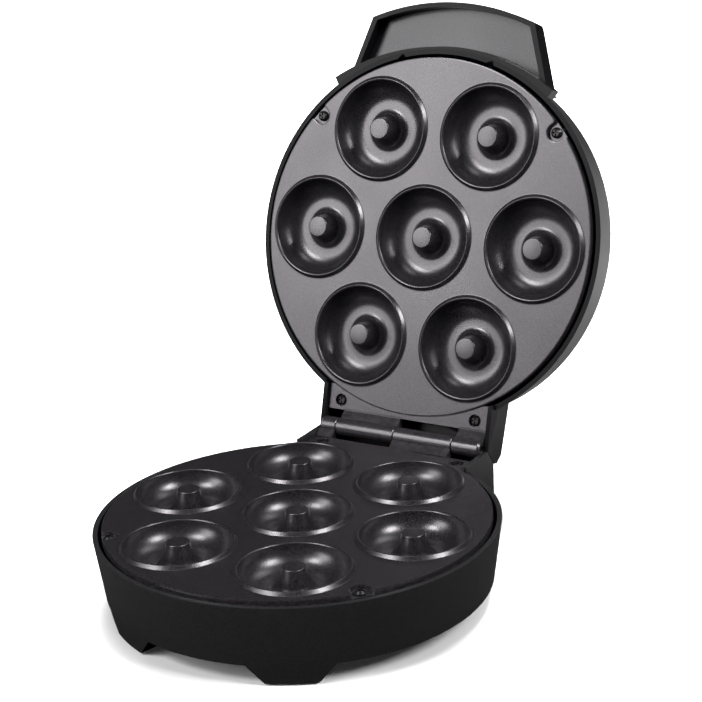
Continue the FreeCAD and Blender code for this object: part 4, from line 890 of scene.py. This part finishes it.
# %% Tab and knuckles
BARREL_RADIUS = 4.75 * MM
BARREL_BORE = 2.05 * MM
TAB_HALF = 48.5 * MM
TAB_TOP = -3.5 * MM
TAB_EDGE = hinge.y - 8.85 * MM
TAB_START = TAB_EDGE - 14 * MM
TAB_SCREWS = [(side * 41 * MM, hinge.y - 14.1 * MM) for side in (-1, 1)]
TAB_ROUND = 0.2 * MM
BORE_SIDES = 40
BARREL_SIDES = 64
WEB_OVERLAP = 0.15 * MM
WEB_GAP = 0.02 * MM
COUNTERBORE = 3.4 * MM
COUNTERBORE_LEVEL = TAB_TOP - 2.2 * MM
END_CHAMFER = 0.25 * MM
WIDE_CHAMFER = 1.1 * MM
base_knuckles = [(-48.5 * MM, -38.9 * MM), (-2.8 * MM, 32.0 * MM)]
lid_knuckles = [(3.2 * MM, 38.5 * MM), (-48.5 * MM, -32.4 * MM)]


def flat_piece(outline, holes, low, high, rounding):
    """A plate between two levels with round holes and rounded edges, from a filled flat curve."""
    curve = bpy.data.curves.new("flat", "CURVE")
    curve.dimensions = "2D"
    curve.fill_mode = "BOTH"
    curve.extrude = (high - low) / 2 - rounding
    curve.bevel_depth = rounding
    curve.bevel_resolution = 1
    loops = [inset(outline, rounding)]
    for x, y, radius in holes:
        turns = [-2 * math.pi * step / BORE_SIDES for step in range(BORE_SIDES)]
        loops.append([(x + (radius + rounding) * math.cos(turn), y + (radius + rounding) * math.sin(turn))
                      for turn in turns])
    for loop in loops:
        spline = curve.splines.new("POLY")
        spline.points.add(len(loop) - 1)
        for point, (x, y) in zip(spline.points, loop):
            point.co = (x, y, 0, 1)
        spline.use_cyclic_u = True
    item = bpy.data.objects.new("flat", curve)
    bpy.context.scene.collection.objects.link(item)
    data = bpy.data.meshes.new_from_object(item.evaluated_get(bpy.context.evaluated_depsgraph_get()))
    data.transform(Matrix.Translation((0, 0, (low + high) / 2)))
    bpy.data.objects.remove(item)
    return data


def add_tab(mesh):
    outline = [(-TAB_HALF, TAB_START), (TAB_HALF, TAB_START), (TAB_HALF, TAB_EDGE), (-TAB_HALF, TAB_EDGE)]
    holes = [(x, y, COUNTERBORE) for x, y in TAB_SCREWS]
    for low, high, bores in ((COUNTERBORE_LEVEL, TAB_TOP, holes), (SKIRT, COUNTERBORE_LEVEL, [])):
        data = flat_piece(outline, bores, low, high, TAB_ROUND)
        mesh.from_mesh(data)
        bpy.data.meshes.remove(data)


def add_barrel(mesh, left, right, left_chamfer, right_chamfer):
    """One barrel length: a tube about the hinge axis, with chamfered ends."""
    start = len(mesh.verts)
    inner, outer = BARREL_BORE, BARREL_RADIUS
    profile = [(inner, left), (outer - left_chamfer, left), (outer, left + left_chamfer),
               (outer, right - right_chamfer), (outer - right_chamfer, right), (inner, right)]
    turned(mesh, profile, BARREL_SIDES, closed=True, material=BARREL)
    mesh.verts.ensure_lookup_table()
    along_x = Matrix.Translation((0, hinge.y, HALF_CLOSING_GAP)) @ Matrix.Rotation(math.pi / 2, 4, "Y")
    bmesh.ops.transform(mesh, matrix=along_x, verts=mesh.verts[start:])


def add_tongue(mesh, left, right):
    """The web between the tab and a barrel. It ends inside the barrel's wall."""
    across, level = hinge.y, HALF_CLOSING_GAP
    inside = BARREL_RADIUS - WEB_OVERLAP
    section = [(TAB_EDGE - 1 * MM, SKIRT), (across - 2.4 * MM, SKIRT), (across, level - inside),
               (across, level - 3.0 * MM), (across - 3.1 * MM, level - 0.5 * MM),
               (across - inside, level - 0.5 * MM), (TAB_EDGE, TAB_TOP), (TAB_EDGE - 1 * MM, TAB_TOP)]
    loops = [[mesh.verts.new((x, y, z)) for y, z in section] for x in (left + WEB_GAP, right - WEB_GAP)]
    mesh.faces.new(loops[1])
    mesh.faces.new(list(reversed(loops[0])))
    for index in range(len(section)):
        after = (index + 1) % len(section)
        mesh.faces.new((loops[0][index], loops[0][after], loops[1][after], loops[1][index]))


# %% [markdown]
# A whole plate is the two skins, the side between them and everything that hangs below, welded where
# the skins meet the side. It is built in the half frame and then taken to its place in the row, so
# both plates come from one recipe and differ only in their knuckles.

# %% Whole plates
JOIN = 0.005 * MM
PLATE_SHARP = math.radians(35)


def cooking_plate(name, node, body, to_row, knuckles):
    mesh = bmesh.new()
    for skin in (upper_skin, under_skin):
        mesh.from_mesh(skin)
    add_side(mesh)
    bmesh.ops.remove_doubles(mesh, verts=mesh.verts, dist=JOIN)
    add_skirt(mesh)
    add_notch_floors(mesh)
    add_underside(mesh)
    add_tab(mesh)
    for left, right in knuckles:
        wide_left = WIDE_CHAMFER if left < -TAB_HALF + 0.1 * MM else END_CHAMFER
        add_barrel(mesh, left, right, wide_left, END_CHAMFER)
        add_tongue(mesh, left, right)
    bmesh.ops.recalc_face_normals(mesh, faces=mesh.faces)
    for face in mesh.faces:
        face.smooth = True
    plate = object_from(mesh, name)
    plate.data.transform(to_row)
    plate.data.set_sharp_from_angle(angle=PLATE_SHARP)
    plate.data.materials.clear()
    for material in ("nonstick", "cast_edge", "barrel_metal"):
        plate.data.materials.append(finish[material])
    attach(plate, body)
    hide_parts(node)
    return plate


lower_plate = cooking_plate("lower_cooking_plate", "lower_plate", "base", to_base, base_knuckles)
upper_plate = cooking_plate("upper_cooking_plate", "upper_plate", "lid", to_lid, lid_knuckles)
for plate in (lower_plate, upper_plate):
    loose = sum(1 for edge in plate.data.edges if edge.is_loose)
    print(plate.name, len(plate.data.polygons), "faces,", loose, "loose edges")

# %% [markdown]
# ## Lid shell
# The lid is one glossy moulding. Its mesh comes as loose triangles, each with its own corners, and
# a polished dome shows the small creases where their slivers meet. A welded copy shades as one
# skin: its corners are merged, only edges steeper than the limit stay sharp, and a Weighted Normal
# modifier lets the large triangles outvote the slivers at the middle of the dome.

# %% Lid shell
WELD = 0.004 * MM
SHARP = math.radians(28)
WEIGHT = 90


def welded_lid():
    mesh = bmesh.new()
    mesh.from_mesh(nodes["lid_cover"].data)
    bmesh.ops.remove_doubles(mesh, verts=mesh.verts, dist=WELD)
    bmesh.ops.dissolve_degenerate(mesh, edges=mesh.edges, dist=WELD)
    for face in mesh.faces:
        face.smooth = True
        face.material_index = 0
    shell = object_from(mesh, "lid_shell")
    shell.data.set_sharp_from_angle(angle=SHARP)
    shell.data.materials.clear()
    shell.data.materials.append(finish["lid_gloss"])
    weighted = shell.modifiers.new("large faces first", "WEIGHTED_NORMAL")
    weighted.keep_sharp = True
    weighted.weight = WEIGHT
    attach(shell, "lid")
    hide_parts("lid_cover")
    return shell


lid_shell = welded_lid()
print(lid_shell.name, len(lid_shell.data.polygons), "triangles")
